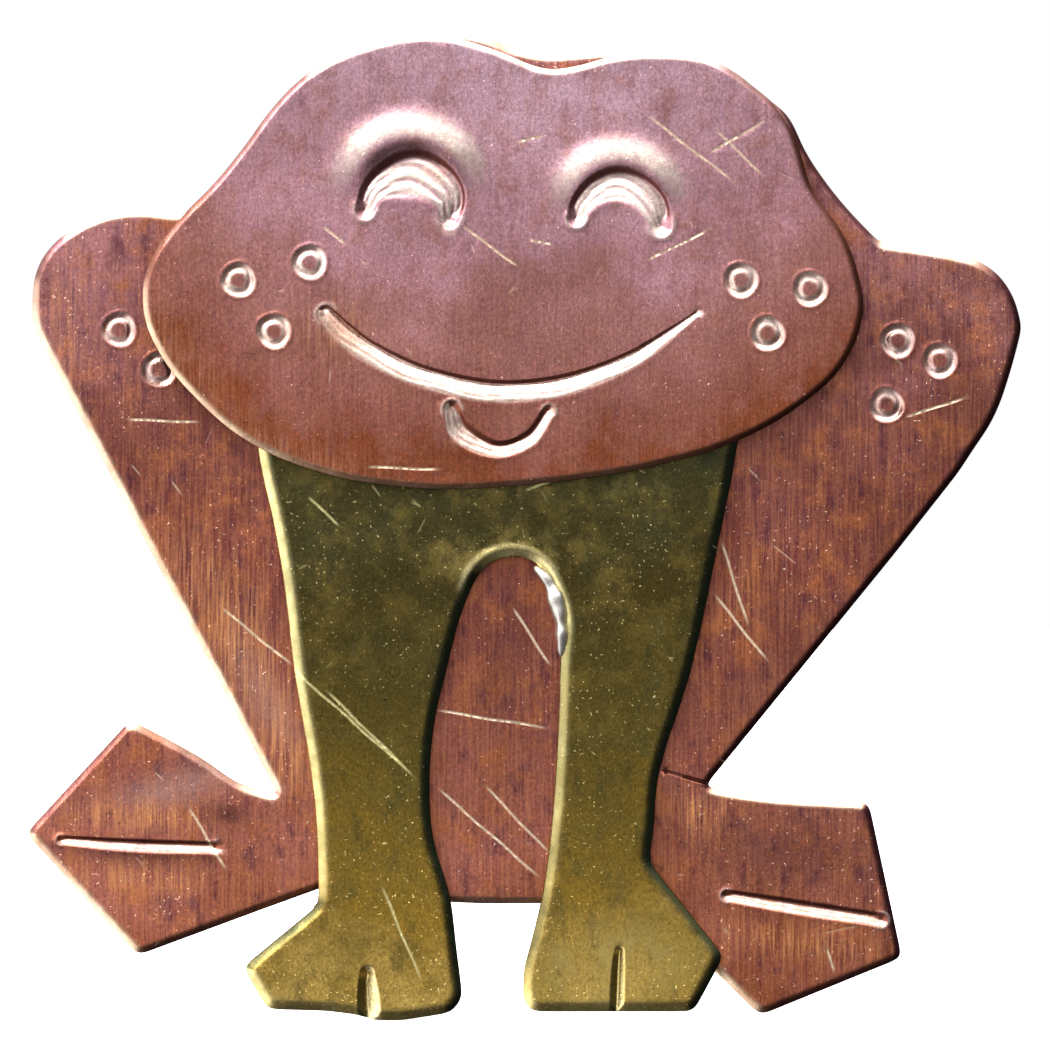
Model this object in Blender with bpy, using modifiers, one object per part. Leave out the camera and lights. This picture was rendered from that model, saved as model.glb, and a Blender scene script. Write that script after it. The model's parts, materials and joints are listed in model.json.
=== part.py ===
"""Frog brooch: three layers of cut copper and brass sheet, soldered together, with a hinged pin behind.

X runs across the frog, Z up, and the garment lies on the plane y = 0. The frog faces -Y.
"""

import math

import bmesh
import bpy

MM = 0.001

# Driving dimensions, in millimetres.
SHEET = 0.9                # thickness of the copper and the brass
SHEET_ROUND = 0.28         # rounding of a cut edge
FILM = 0.1                 # thickness of a solder film
FILM_ROUND = 0.03
LEGS_FILM_SPILL = 0.25     # how far solder was squeezed out around the brass
BAR_FILM_SPILL = 0.3
FIT = 0.02                 # air left between neighbouring solids
STAMP_SIDES = 2            # bevel resolution of a stamping tool's round nose
STAMP_LIFT = 0.03          # keeps a stamp's widest line just off the face that it cuts
CUT_PAST = 1.0             # how far a cutting tool passes the piece that it cuts

BAR_LENGTH = 31.0
BAR_WIDTH = 5.0
BAR_THICK = 0.7
BAR_ROUND = 0.1
BAR_HEIGHT = 11.5          # z of the pin
GARMENT_FACE_TOP = 8.0     # the rear face below the bar, which lies on the garment, ends here
BAR_HOLE_R = 0.9
BAR_HOLE_PITCH = 6.0
PIN_REACH = 13.0           # x of the catch, and of the hinge on the other side
PIN_STAND = 5.5            # y of the pin's axis
PIN_R = 0.45
PIN_START = 0.6            # where the wire leaves the pivot's centre
PIN_TIP = 3.6              # how far the point passes the catch
POINT_START = 1.1          # how far past the catch the wire begins to narrow
POINT_WAIST = 2.4          # the point narrows faster from here
POINT_WAIST_SHARE = 0.66   # what is left of the wire's radius there
POINT_END_SHARE = 0.1      # and at the tip
STEM_EYE_R = 1.25
STEM_EYE_PLAY = 0.15       # air between the eye and each ear
EAR_THICK = 0.6
EAR_GAP = 2.6
EAR_WIDTH = 2.9
UPRIGHT_ROUND = 0.08       # rounding of the ears and the catch
RIVET_R = 0.46
RIVET_HEAD_R = 0.85
RIVET_HEAD = 0.35
RIVET_CROWN_SHARE = 0.55   # radius of the head's flat crown, as a share of the head's radius
RIVET_BROW_SHARE = 0.9     # radius where the head's slope steepens
RIVET_BROW_DROP = 0.35     # how far down the head that is
RUN = 0.06                 # radial running clearance
CATCH_THICK = 0.7
CATCH_WIDTH = 4.6
CATCH_MOUTH = 1.6
ROLLER_HUB_R = 1.3
ROLLER_FLANGE_R = 1.95
ROLLER_FLANGE = 0.55
ROLLER_BORE_R = 0.6
ROLLER_SLOT = 1.14
ROLLER_SIDE_PLAY = 0.06
ROLLER_CORNER = 0.12
TAB_HALF = 0.45            # half the thumb tab's thickness
TAB_INSET = 0.08           # how much narrower than the flange the tab is, on each side
TAB_REACH = 1.6            # how far the tab passes the flange
TAB_ROOT = 1.2             # where it starts, below the roller's centre

# The layers, from the garment outwards.
BACK_FRONT = -SHEET
LEGS_REAR = BACK_FRONT - FILM - 2 * FIT
LEGS_FRONT = LEGS_REAR - SHEET
HEAD_REAR = LEGS_FRONT - FILM - 2 * FIT
HEAD_FRONT = HEAD_REAR - SHEET
BAR_REAR = FILM + 2 * FIT

# Turns a flat outline to face the viewer, to stand across the pin, or to lie along it.
FACING = (math.pi / 2, 0, 0)
LEVEL = (0, 0, 0)
ACROSS = (0, math.pi / 2, 0)

SHARP = "sharp"

# Outlines as (x, z) in millimetres, clockwise as the viewer sees them. A knot is smooth unless marked.
HEAD_OUTLINE = [
    (-17.2, 10.1), (-16.9, 11.8), (-15.4, 13.9), (-14.1, 15.2), (-12.7, 16.9), (-11.3, 18.8),
    (-9.6, 20.4), (-6.6, 21.7), (-3.8, 22.0), (-2.4, 21.7), (-0.9, 21.2), (0.9, 20.5), (2.2, 20.6),
    (4.1, 21.1), (6.6, 21.2), (8.4, 20.9), (10.4, 19.6), (11.5, 18.6), (12.2, 17.3), (12.9, 15.1),
    (14.3, 13.1), (15.1, 10.8), (15.2, 9.5), (14.3, 7.2), (12.8, 5.7), (9.6, 3.8), (6.0, 2.7),
    (3.4, 2.2), (0.0, 1.8), (-3.4, 1.6), (-6.3, 1.8), (-8.6, 2.2), (-12.2, 3.6), (-14.6, 5.5),
    (-16.7, 8.2),
]
BACK_OUTLINE = [
    (-15.2, 14.1), (-17.3, 14.2), (-18.9, 14.0), (-20.4, 13.3), (-21.4, 12.5), (-22.0, 11.5),
    (-22.2, 10.1), (-22.1, 8.9), (-21.5, 7.7), (-20.5, 5.8), (-11.1, -12.2, SHARP),
    (-12.8, -11.7), (-14.6, -10.5), (-17.8, -8.8, SHARP), (-22.5, -13.9, SHARP),
    (-17.45, -19.4, SHARP), (-9.3, -16.4), (-8.1, -16.0), (-5.6, -16.7), (-3.4, -17.0),
    (0.7, -17.05), (5.4, -17.1, SHARP), (10.6, -22.1, SHARP), (17.0, -19.5, SHARP),
    (15.5, -12.5, SHARP), (10.6, -12.2), (8.1, -11.8, SHARP), (19.4, 2.2), (20.2, 3.4), (21.1, 4.8),
    (21.9, 7.0), (22.4, 8.9, SHARP), (21.9, 10.5), (20.8, 11.7), (18.8, 12.3), (16.0, 12.7, SHARP),
    (14.3, 14.5), (13.3, 15.8), (12.6, 16.9), (11.8, 18.5), (10.8, 19.3), (9.3, 20.5),
    (6.6, 21.4), (4.1, 21.4), (2.8, 21.3), (0.9, 21.2), (-0.3, 21.4), (-1.9, 22.0), (-3.0, 22.2),
    (-4.7, 22.0), (-6.6, 21.6), (-9.6, 20.3), (-11.3, 18.6), (-12.7, 16.7),
]
LEGS_OUTLINE = [
    (-12.6, 13.6, SHARP), (10.4, 13.6, SHARP), (9.6, 3.9), (8.7, -0.8), (7.4, -6.8), (6.0, -11.3),
    (5.8, -13.5), (5.6, -15.2, SHARP), (8.95, -19.4, SHARP), (7.6, -21.9, SHARP),
    (0.3, -21.9, SHARP), (-0.1, -21.4), (0.8, -16.6), (1.2, -13.5), (1.5, -9.0), (1.6, -5.9),
    (1.7, -4.3), (1.2, -2.7), (0.5, -1.7), (-0.6, -1.4), (-1.8, -1.9), (-2.5, -3.0), (-3.6, -6.8),
    (-4.1, -9.0), (-4.3, -12.1), (-4.1, -14.3), (-3.4, -16.6), (-3.1, -18.9), (-2.8, -21.3, SHARP),
    (-3.3, -21.95, SHARP), (-6.7, -22.3), (-7.5, -22.05), (-11.6, -21.8, SHARP),
    (-12.7, -19.9, SHARP), (-9.3, -17.1, SHARP), (-9.3, -16.4), (-9.5, -12.1), (-10.4, -6.5),
    (-10.8, -3.0), (-11.3, 0.0), (-12.0, 3.2),
]
HEAD_FILM_OUTLINE = [
    (-11.4, 11.5), (-9.8, 13.0), (7.6, 13.0), (9.3, 11.5), (8.8, 6.0), (6.8, 4.4), (-1.0, 3.2),
    (-8.6, 4.0), (-11.0, 6.0),
]

# Stamped marks as (x, z, half width).
LEFT_EYE = [
    (-7.22, 14.16, 0.42), (-6.90, 14.96, 0.55), (-6.21, 15.50, 0.8), (-5.03, 15.80, 1.1),
    (-3.99, 15.45, 0.95), (-3.42, 14.75, 0.75), (-3.38, 13.76, 0.45),
]
RIGHT_EYE = [
    (2.29, 13.79, 0.40), (2.57, 14.47, 0.52), (3.24, 15.10, 0.65), (4.14, 15.34, 0.76),
    (5.10, 15.05, 0.75), (5.79, 14.39, 0.68), (6.11, 13.47, 0.48),
]
SMILE = [
    (-9.1, 9.6, 0.38), (-7.5, 8.0, 0.45), (-4.4, 6.6, 0.5), (-1.3, 6.0, 0.55), (1.8, 6.3, 0.55),
    (4.9, 7.5, 0.4), (7.75, 9.5, 0.12),
]
LIP = [(-3.3, 5.2, 0.5), (-2.8, 4.1, 0.52), (-1.3, 3.4, 0.42), (0.2, 3.9, 0.38), (1.0, 5.1, 0.35)]
LEFT_TOE_LINE = [(-20.9, -14.2, 0.3), (-13.9, -14.6, 0.36)]
RIGHT_TOE_LINE = [(9.1, -16.7, 0.34), (16.0, -17.8, 0.38)]
LEFT_TOE_NOTCH = [(-7.1, -20.4, 0.4), (-7.0, -22.8, 0.5)]
RIGHT_TOE_NOTCH = [(4.2, -19.3, 0.28), (4.1, -22.6, 0.3)]
OVERCUT = [(8.4, -11.7, 0.1), (6.3, -11.1, 0.1)]

# How deep each mark goes, as a share of its half width.
LEFT_EYE_DEPTH = 0.32
RIGHT_EYE_DEPTH = 0.4
SMILE_DEPTH = 0.7
LIP_DEPTH = 0.6
TOE_LINE_DEPTH = 0.8
LEFT_NOTCH_DEPTH = 0.9
RIGHT_NOTCH_DEPTH = 1.2
OVERCUT_DEPTH = 4.0

# Ring punch marks as (x, z).
RING_R = 0.64
RING_GROOVE = 0.17
HEAD_RINGS = [(-12.9, 11.0), (-9.7, 11.8), (-11.3, 8.7), (9.7, 11.0), (12.8, 10.6), (10.9, 8.6)]
KNEE_RINGS = [(-18.3, 8.8), (16.8, 8.3), (18.7, 7.4), (16.3, 5.4)]

# Brow ridges: an arc above each eye.
BROW_R = 3.4
BROW_HALF_WIDTH = 0.85
BROW_RISE = 0.2
BROW_START = 150           # degrees, from the +X side
BROW_END = 30
BROW_STEPS = 6
BROW_END_FILL = 0.6        # how far from nothing the ridge's two ends are, in steps
EYE_CENTRES = [(-5.2, 14.8), (4.2, 14.1)]

# The solder that was squeezed out inside the arch.
BEAD_FLATNESS = 0.5
BEAD_CENTRE = 0.2          # how far the bead's middle stands off the back plate's solder
BEAD = [(-0.1, -2.25, 0.2), (0.75, -3.0, 0.34), (1.22, -4.3, 0.36), (1.16, -5.6, 0.22)]


def clear_scene():
    for thing in list(bpy.data.objects):
        bpy.data.objects.remove(thing, do_unlink=True)


def new_collection(name):
    collection = bpy.data.collections.new(name)
    bpy.context.scene.collection.children.link(collection)
    return collection


def new_material(name, colour, metallic, roughness):
    material = bpy.data.materials.new(name)
    material.use_nodes = True
    shader = material.node_tree.nodes["Principled BSDF"]
    shader.inputs["Base Color"].default_value = (*colour, 1)
    shader.inputs["Metallic"].default_value = metallic
    shader.inputs["Roughness"].default_value = roughness
    return material


def scaled(*values):
    """Millimetres to metres."""
    return tuple(value * MM for value in values)


def mesh_object(curve_object):
    """A curve drawn in millimetres, as a mesh object in metres, with its caps welded to its sides."""
    bpy.context.view_layer.update()
    graph = bpy.context.evaluated_depsgraph_get()
    mesh = bpy.data.meshes.new_from_object(curve_object.evaluated_get(graph))
    form = bmesh.new()
    form.from_mesh(mesh)
    bmesh.ops.remove_doubles(form, verts=form.verts, dist=1e-4)
    bmesh.ops.dissolve_limit(
        form, angle_limit=math.radians(0.05), verts=form.verts, edges=form.edges
    )
    bmesh.ops.recalc_face_normals(form, faces=form.faces)
    bmesh.ops.scale(form, vec=(MM, MM, MM), verts=form.verts)
    form.to_mesh(mesh)
    form.free()
    solid = bpy.data.objects.new(curve_object.name, mesh)
    solid.matrix_world = curve_object.matrix_world
    name = curve_object.name
    bpy.data.objects.remove(curve_object, do_unlink=True)
    solid.name = name
    return solid


def bezier_loop(curve, knots):
    """A closed Bezier loop through knots in millimetres."""
    spline = curve.splines.new("BEZIER")
    spline.bezier_points.add(len(knots) - 1)
    for point, knot in zip(spline.bezier_points, knots):
        point.co = (knot[0], knot[1], 0)
        kind = "VECTOR" if SHARP in knot else "AUTO"
        point.handle_left_type = kind
        point.handle_right_type = kind
    spline.use_cyclic_u = True


def straight_loop(curve, points):
    """A closed loop of straight sides through points in millimetres."""
    spline = curve.splines.new("POLY")
    spline.points.add(len(points) - 1)
    for point, place in zip(spline.points, points):
        point.co = (*place, 0, 1)
    spline.use_cyclic_u = True


def flat_plate(name, knots, holes, thickness, place, turn, rounding=0.05, grow=0.0, smooth=True):
    """A flat plate in millimetres: one outline, holes in it, and rounded edges on both faces."""
    curve = bpy.data.curves.new(name, "CURVE")
    curve.dimensions = "2D"
    curve.fill_mode = "BOTH"
    curve.resolution_u = 3
    curve.extrude = thickness / 2 - rounding
    curve.bevel_depth = rounding
    curve.bevel_resolution = 1 if thickness > FILM else 0
    curve.offset = grow - rounding
    if smooth:
        bezier_loop(curve, knots)
    else:
        straight_loop(curve, knots)
    for hole in holes:
        straight_loop(curve, hole)
    plate = bpy.data.objects.new(name, curve)
    bpy.context.scene.collection.objects.link(plate)
    plate.location = scaled(*place)
    plate.rotation_euler = turn
    return mesh_object(plate)


def arc_points(centre, radius, first, last, count):
    """Points on an arc, with angles in degrees."""
    points = []
    for step in range(count + 1):
        angle = math.radians(first + (last - first) * step / count)
        points.append((centre[0] + radius * math.cos(angle), centre[1] + radius * math.sin(angle)))
    return points


def circle_points(centre, radius, count=20):
    return arc_points(centre, radius, 0, 360 - 360 / count, count - 1)


def tab_points(width, height):
    """An upright tab with a half-round top. Its top's centre is the origin."""
    top = arc_points((0, 0), width / 2, 0, 180, 10)
    return [(-width / 2, -height), (width / 2, -height), *top]


def tube(name, path, place, turn, resolution=STAMP_SIDES, smooth=True):
    """A closed tube through (x, y, radius) knots, in millimetres."""
    curve = bpy.data.curves.new(name, "CURVE")
    curve.dimensions = "3D"
    curve.bevel_depth = 1
    curve.bevel_resolution = resolution
    curve.resolution_u = 4
    curve.use_fill_caps = True
    spline = curve.splines.new("BEZIER")
    spline.bezier_points.add(len(path) - 1)
    for point, (along, up, radius) in zip(spline.bezier_points, path):
        point.co = (along, up, 0)
        point.radius = radius
        point.handle_left_type = "AUTO" if smooth else "VECTOR"
        point.handle_right_type = "AUTO" if smooth else "VECTOR"
    thing = bpy.data.objects.new(name, curve)
    bpy.context.scene.collection.objects.link(thing)
    thing.location = scaled(*place)
    thing.rotation_euler = turn
    return mesh_object(thing)


def split_at(plate, height):
    """Divides a plate's flat faces along a level line, in millimetres above its origin."""
    form = bmesh.new()
    form.from_mesh(plate.data)
    everything = form.verts[:] + form.edges[:] + form.faces[:]
    bmesh.ops.bisect_plane(
        form, geom=everything, dist=1e-9, plane_co=scaled(0, height, 0), plane_no=(0, 1, 0)
    )
    form.to_mesh(plate.data)
    form.free()


def flatten(thing, ratio):
    """Squeezes a stamp or a ridge in depth, about its own mid-plane."""
    for vertex in thing.data.vertices:
        vertex.co.z *= ratio
    return thing


def box(name, low, high):
    """A box between two corners, in millimetres."""
    bpy.ops.mesh.primitive_cube_add(size=1)
    thing = bpy.context.object
    thing.name = name
    thing.location = scaled(*((a + b) / 2 for a, b in zip(low, high)))
    thing.scale = scaled(*(b - a for a, b in zip(low, high)))
    bpy.context.view_layer.update()
    bpy.ops.object.transform_apply(location=False, rotation=False, scale=True)
    return thing


def cylinder(name, radius, length, place, turn, sides=28):
    bpy.ops.mesh.primitive_cylinder_add(vertices=sides, radius=radius * MM, depth=length * MM)
    thing = bpy.context.object
    thing.name = name
    thing.location = scaled(*place)
    thing.rotation_euler = turn
    return thing


def turned(name, profile, place, turn, steps=28):
    """A turned piece: (radius, height) points from its top to its bottom, spun about its own Z."""
    mesh = bpy.data.meshes.new(name)
    form = bmesh.new()
    ring = [form.verts.new(scaled(radius, 0, height)) for radius, height in profile]
    for upper, lower in zip(ring, ring[1:]):
        form.edges.new((upper, lower))
    form.to_mesh(mesh)
    form.free()
    thing = bpy.data.objects.new(name, mesh)
    thing.location = scaled(*place)
    thing.rotation_euler = turn
    spin = thing.modifiers.new("spin", "SCREW")
    spin.steps = steps
    spin.render_steps = steps
    spin.use_merge_vertices = True
    spin.merge_threshold = 1e-7
    return thing


def combine(target, operation, helpers):
    """Adds one EXACT Boolean for each helper, and puts the helpers away."""
    for helper in helpers:
        cut = target.modifiers.new(helper.name, "BOOLEAN")
        cut.operation = operation
        cut.solver = "EXACT"
        cut.object = helper
        for owner in list(helper.users_collection):
            owner.objects.unlink(helper)
        tools.objects.link(helper)
        helper.hide_render = True
        helper.display_type = "WIRE"


def finish(thing, material, angle=40):
    """Puts a piece in the brooch's collection, with its material and smooth shading."""
    for owner in list(thing.users_collection):
        owner.objects.unlink(thing)
    brooch.objects.link(thing)
    thing.data.materials.clear()
    thing.data.materials.append(material)
    thing.data.shade_smooth()
    thing.data.set_sharp_from_angle(angle=math.radians(angle))
    return thing


def ring_stamps(name, centres, face):
    """Round punches, one for each freckle, that leave a small boss in the middle."""
    stamps = []
    for number, (x, z) in enumerate(centres, 1):
        bpy.ops.mesh.primitive_torus_add(
            major_radius=RING_R * MM,
            minor_radius=RING_GROOVE * MM,
            major_segments=16,
            minor_segments=6,
            location=scaled(x, face - STAMP_LIFT, z),
            rotation=FACING,
        )
        stamps.append(bpy.context.object)
        stamps[-1].name = f"{name}_{number}"
    return stamps


def line_stamp(name, path, face, depth_ratio):
    return flatten(tube(name, path, (0, face - STAMP_LIFT, 0), FACING), depth_ratio)


def make_back_plate(material):
    plate = flat_plate(
        "back_plate", BACK_OUTLINE, [], SHEET, (0, -SHEET / 2, 0), FACING, SHEET_ROUND
    )
    split_at(plate, GARMENT_FACE_TOP)
    stamps = ring_stamps("knee_ring_stamp", KNEE_RINGS, BACK_FRONT)
    stamps.append(line_stamp("left_toe_stamp", LEFT_TOE_LINE, BACK_FRONT, TOE_LINE_DEPTH))
    stamps.append(line_stamp("right_toe_stamp", RIGHT_TOE_LINE, BACK_FRONT, TOE_LINE_DEPTH))
    stamps.append(line_stamp("overcut_stamp", OVERCUT, BACK_FRONT, OVERCUT_DEPTH))
    combine(plate, "DIFFERENCE", stamps)
    return finish(plate, material)


def make_front_legs_plate(material):
    plate = flat_plate(
        "front_legs_plate",
        LEGS_OUTLINE,
        [],
        SHEET,
        (0, LEGS_REAR - SHEET / 2, 0),
        FACING,
        SHEET_ROUND,
    )
    left = line_stamp("left_toe_notch", LEFT_TOE_NOTCH, LEGS_FRONT, LEFT_NOTCH_DEPTH)
    right = line_stamp("right_toe_notch", RIGHT_TOE_NOTCH, LEGS_FRONT, RIGHT_NOTCH_DEPTH)
    combine(plate, "DIFFERENCE", [left, right])
    return finish(plate, material)


def make_head_plate(material):
    plate = flat_plate(
        "head_plate", HEAD_OUTLINE, [], SHEET, (0, HEAD_REAR - SHEET / 2, 0), FACING, SHEET_ROUND
    )
    brows = []
    for number, centre in enumerate(EYE_CENTRES, 1):
        arc = arc_points(centre, BROW_R, BROW_START, BROW_END, BROW_STEPS)
        whole = BROW_STEPS + 2 * BROW_END_FILL
        widths = [math.sin(math.pi * (step + BROW_END_FILL) / whole) for step in range(len(arc))]
        path = [(x, z, BROW_HALF_WIDTH * width) for (x, z), width in zip(arc, widths)]
        brow = tube(f"brow_{number}", path, (0, HEAD_FRONT + STAMP_LIFT, 0), FACING)
        brows.append(flatten(brow, BROW_RISE / BROW_HALF_WIDTH))
    combine(plate, "UNION", brows)
    stamps = ring_stamps("cheek_ring_stamp", HEAD_RINGS, HEAD_FRONT)
    stamps.append(line_stamp("left_eye_stamp", LEFT_EYE, HEAD_FRONT, LEFT_EYE_DEPTH))
    stamps.append(line_stamp("right_eye_stamp", RIGHT_EYE, HEAD_FRONT, RIGHT_EYE_DEPTH))
    stamps.append(line_stamp("smile_stamp", SMILE, HEAD_FRONT, SMILE_DEPTH))
    stamps.append(line_stamp("lip_stamp", LIP, HEAD_FRONT, LIP_DEPTH))
    combine(plate, "DIFFERENCE", stamps)
    return finish(plate, material)


def make_solders(material):
    middle = BACK_FRONT - FIT - FILM / 2
    legs = flat_plate(
        "solder_legs", LEGS_OUTLINE, [], FILM, (0, middle, 0), FACING, FILM_ROUND, grow=LEGS_FILM_SPILL
    )
    bead = tube("solder_bead", BEAD, (0, BACK_FRONT - FIT - BEAD_CENTRE, 0), FACING, resolution=2)
    combine(legs, "UNION", [flatten(bead, BEAD_FLATNESS)])
    finish(legs, material)
    middle = LEGS_FRONT - FIT - FILM / 2
    head = flat_plate(
        "solder_head", HEAD_FILM_OUTLINE, [], FILM, (0, middle, 0), FACING, FILM_ROUND
    )
    finish(head, material)
    bar = flat_plate(
        "solder_bar",
        stadium_points(BAR_LENGTH, BAR_WIDTH),
        [],
        FILM,
        (0, FIT + FILM / 2, BAR_HEIGHT),
        FACING,
        FILM_ROUND,
        grow=BAR_FILM_SPILL,
        smooth=False,
    )
    finish(bar, material)


def stadium_points(length, width):
    """A long strip's outline with half-round ends."""
    reach = (length - width) / 2
    right = arc_points((reach, 0), width / 2, 90, -90, 10)
    left = arc_points((-reach, 0), width / 2, 270, 90, 10)
    return right + left


def make_pin_bar(material):
    holes = [circle_points((step * BAR_HOLE_PITCH, 0), BAR_HOLE_R) for step in (-1, 0, 1)]
    bar = flat_plate(
        "pin_bar",
        stadium_points(BAR_LENGTH, BAR_WIDTH),
        holes,
        BAR_THICK,
        (0, BAR_REAR + BAR_THICK / 2, BAR_HEIGHT),
        FACING,
        BAR_ROUND,
        smooth=False,
    )
    root = PIN_STAND - BAR_REAR - BAR_THICK / 2
    uprights = []
    for side in (-1, 1):
        z = BAR_HEIGHT + side * (EAR_GAP + EAR_THICK) / 2
        uprights.append(
            flat_plate(
                f"hinge_ear_{side + 2}",
                tab_points(EAR_WIDTH, root),
                [circle_points((0, 0), RIVET_R + FIT)],
                EAR_THICK,
                (-PIN_REACH, PIN_STAND, z),
                LEVEL,
                UPRIGHT_ROUND,
                smooth=False,
            )
        )
    uprights.append(
        flat_plate(
            "catch_cheek",
            tab_points(CATCH_WIDTH, root),
            [circle_points((0, 0), ROLLER_HUB_R + RUN)],
            CATCH_THICK,
            (PIN_REACH, PIN_STAND, BAR_HEIGHT),
            ACROSS,
            UPRIGHT_ROUND,
            smooth=False,
        )
    )
    combine(bar, "UNION", uprights)
    half = CATCH_MOUTH / 2
    low = (PIN_REACH - CUT_PAST, PIN_STAND, BAR_HEIGHT - half)
    high = (PIN_REACH + CUT_PAST, PIN_STAND + CATCH_WIDTH, BAR_HEIGHT + half)
    combine(bar, "DIFFERENCE", [box("catch_mouth", low, high)])
    return finish(bar, material)


def make_hinge_rivet(material):
    shank = EAR_GAP / 2 + EAR_THICK + FIT
    top = shank + RIVET_HEAD
    upper = [
        (0, top),
        (RIVET_HEAD_R * RIVET_CROWN_SHARE, top),
        (RIVET_HEAD_R * RIVET_BROW_SHARE, top - RIVET_HEAD * RIVET_BROW_DROP),
        (RIVET_HEAD_R, shank),
        (RIVET_R, shank),
    ]
    lower = [(radius, -height) for radius, height in reversed(upper)]
    rivet = turned(
        "hinge_rivet", upper + lower, (-PIN_REACH, PIN_STAND, BAR_HEIGHT), LEVEL
    )
    return finish(rivet, material)


def make_pin_stem(material):
    pivot = (-PIN_REACH, PIN_STAND, BAR_HEIGHT)
    reach = 2 * PIN_REACH
    path = [
        (PIN_START, 0, PIN_R),
        (reach / 2, 0, PIN_R),
        (reach + POINT_START, 0, PIN_R),
        (reach + POINT_WAIST, 0, PIN_R * POINT_WAIST_SHARE),
        (reach + PIN_TIP, 0, PIN_R * POINT_END_SHARE),
    ]
    stem = tube("pin_stem", path, pivot, LEVEL, resolution=3, smooth=False)
    eye = cylinder("stem_eye", STEM_EYE_R, EAR_GAP - 2 * STEM_EYE_PLAY, pivot, LEVEL)
    combine(stem, "UNION", [eye])
    bore = cylinder("stem_bore", RIVET_R + RUN, EAR_GAP + CUT_PAST, pivot, LEVEL, sides=24)
    combine(stem, "DIFFERENCE", [bore])
    return finish(stem, material)


def make_catch_roller(material):
    centre = (PIN_REACH, PIN_STAND, BAR_HEIGHT)
    hub = CATCH_THICK / 2 + ROLLER_SIDE_PLAY
    end = hub + ROLLER_FLANGE
    upper = [
        (0, end),
        (ROLLER_FLANGE_R - ROLLER_CORNER, end),
        (ROLLER_FLANGE_R, end - ROLLER_CORNER),
        (ROLLER_FLANGE_R, hub),
        (ROLLER_HUB_R, hub),
    ]
    lower = [(radius, -height) for radius, height in reversed(upper)]
    roller = turned("catch_roller", upper + lower, centre, ACROSS)
    x, y, z = centre
    low = (x + hub + TAB_INSET, y - TAB_HALF, z - ROLLER_FLANGE_R - TAB_REACH)
    high = (x + end - TAB_INSET, y + TAB_HALF, z - TAB_ROOT)
    combine(roller, "UNION", [box("thumb_tab", low, high)])
    half = ROLLER_SLOT / 2
    low = (x - end - CUT_PAST, y, z - half)
    high = (x + end + CUT_PAST, y + ROLLER_FLANGE_R + CUT_PAST, z + half)
    length = 2 * (end + CUT_PAST)
    bore = cylinder("roller_bore", ROLLER_BORE_R, length, centre, ACROSS, sides=24)
    combine(roller, "DIFFERENCE", [bore, box("roller_slot", low, high)])
    return finish(roller, material)


clear_scene()
brooch = new_collection("frog_brooch")
tools = new_collection("cutters")
tools.hide_render = True

copper_back = new_material("copper_back", (0.40, 0.15, 0.11), 1.0, 0.42)
copper_head = new_material("copper_head", (0.42, 0.19, 0.17), 1.0, 0.38)
brass = new_material("brass", (0.30, 0.22, 0.07), 1.0, 0.38)
solder = new_material("solder", (0.62, 0.60, 0.58), 1.0, 0.35)
nickel = new_material("nickel", (0.70, 0.68, 0.64), 1.0, 0.28)
steel = new_material("steel", (0.62, 0.63, 0.65), 1.0, 0.22)

make_back_plate(copper_back)
make_front_legs_plate(brass)
make_head_plate(copper_head)
make_solders(solder)
make_pin_bar(nickel)
make_hinge_rivet(steel)
make_pin_stem(steel)
make_catch_roller(nickel)
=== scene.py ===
"""Looks of the frog brooch: worn copper and brass sheets with stamped marks, and the pin behind.

Lengths are in millimetres until a mesh is made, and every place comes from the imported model's boxes.
A spot on a sheet is (x, z); height is measured outwards from the sheet's face, towards -Y in front.
"""

import json
import math
import random
from dataclasses import dataclass

import bmesh
import bpy
import numpy as np
from mathutils.geometry import delaunay_2d_cdt
from mathutils.kdtree import KDTree
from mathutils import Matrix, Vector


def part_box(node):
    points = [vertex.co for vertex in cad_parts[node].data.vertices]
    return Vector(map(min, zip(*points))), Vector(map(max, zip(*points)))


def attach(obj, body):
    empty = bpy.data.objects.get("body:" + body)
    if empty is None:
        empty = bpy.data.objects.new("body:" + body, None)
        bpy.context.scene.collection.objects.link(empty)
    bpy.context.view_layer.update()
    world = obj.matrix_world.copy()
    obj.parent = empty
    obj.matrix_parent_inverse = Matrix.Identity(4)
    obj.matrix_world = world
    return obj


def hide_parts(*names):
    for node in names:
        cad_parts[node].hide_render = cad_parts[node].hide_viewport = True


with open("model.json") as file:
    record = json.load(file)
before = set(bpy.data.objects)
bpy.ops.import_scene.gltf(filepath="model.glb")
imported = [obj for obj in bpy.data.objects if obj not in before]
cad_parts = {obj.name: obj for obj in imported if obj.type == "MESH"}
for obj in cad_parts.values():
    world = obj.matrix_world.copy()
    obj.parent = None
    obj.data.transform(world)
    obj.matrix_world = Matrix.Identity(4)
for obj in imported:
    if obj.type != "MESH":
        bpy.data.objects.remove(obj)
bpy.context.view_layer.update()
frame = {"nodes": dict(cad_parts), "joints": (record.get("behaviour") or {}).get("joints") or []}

MM = 0.001
TURN = 2 * math.pi


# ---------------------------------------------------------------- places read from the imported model

def box(node):
    """A node's lowest and highest corners, in millimetres."""
    low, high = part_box(node)
    return np.array(low) / MM, np.array(high) / MM


def middle(node):
    low, high = box(node)
    return (low + high) / 2


def add_object(name, data):
    made = bpy.data.objects.new(name, data)
    bpy.context.scene.collection.objects.link(made)
    return made


def add_form(mesh, form):
    """Puts a bmesh into its mesh, and makes the object that holds it."""
    form.to_mesh(mesh)
    form.free()
    mesh.shade_smooth()
    return add_object(mesh.name, mesh)


def add_node(tree, kind, inputs=None, **settings):
    """A shader node whose inputs are sockets to link or values to set."""
    made = tree.nodes.new(kind)
    for key, value in settings.items():
        setattr(made, key, value)
    for key, value in (inputs or {}).items():
        if isinstance(value, bpy.types.NodeSocket):
            tree.links.new(value, made.inputs[key])
        else:
            made.inputs[key].default_value = value
    return made


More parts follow.
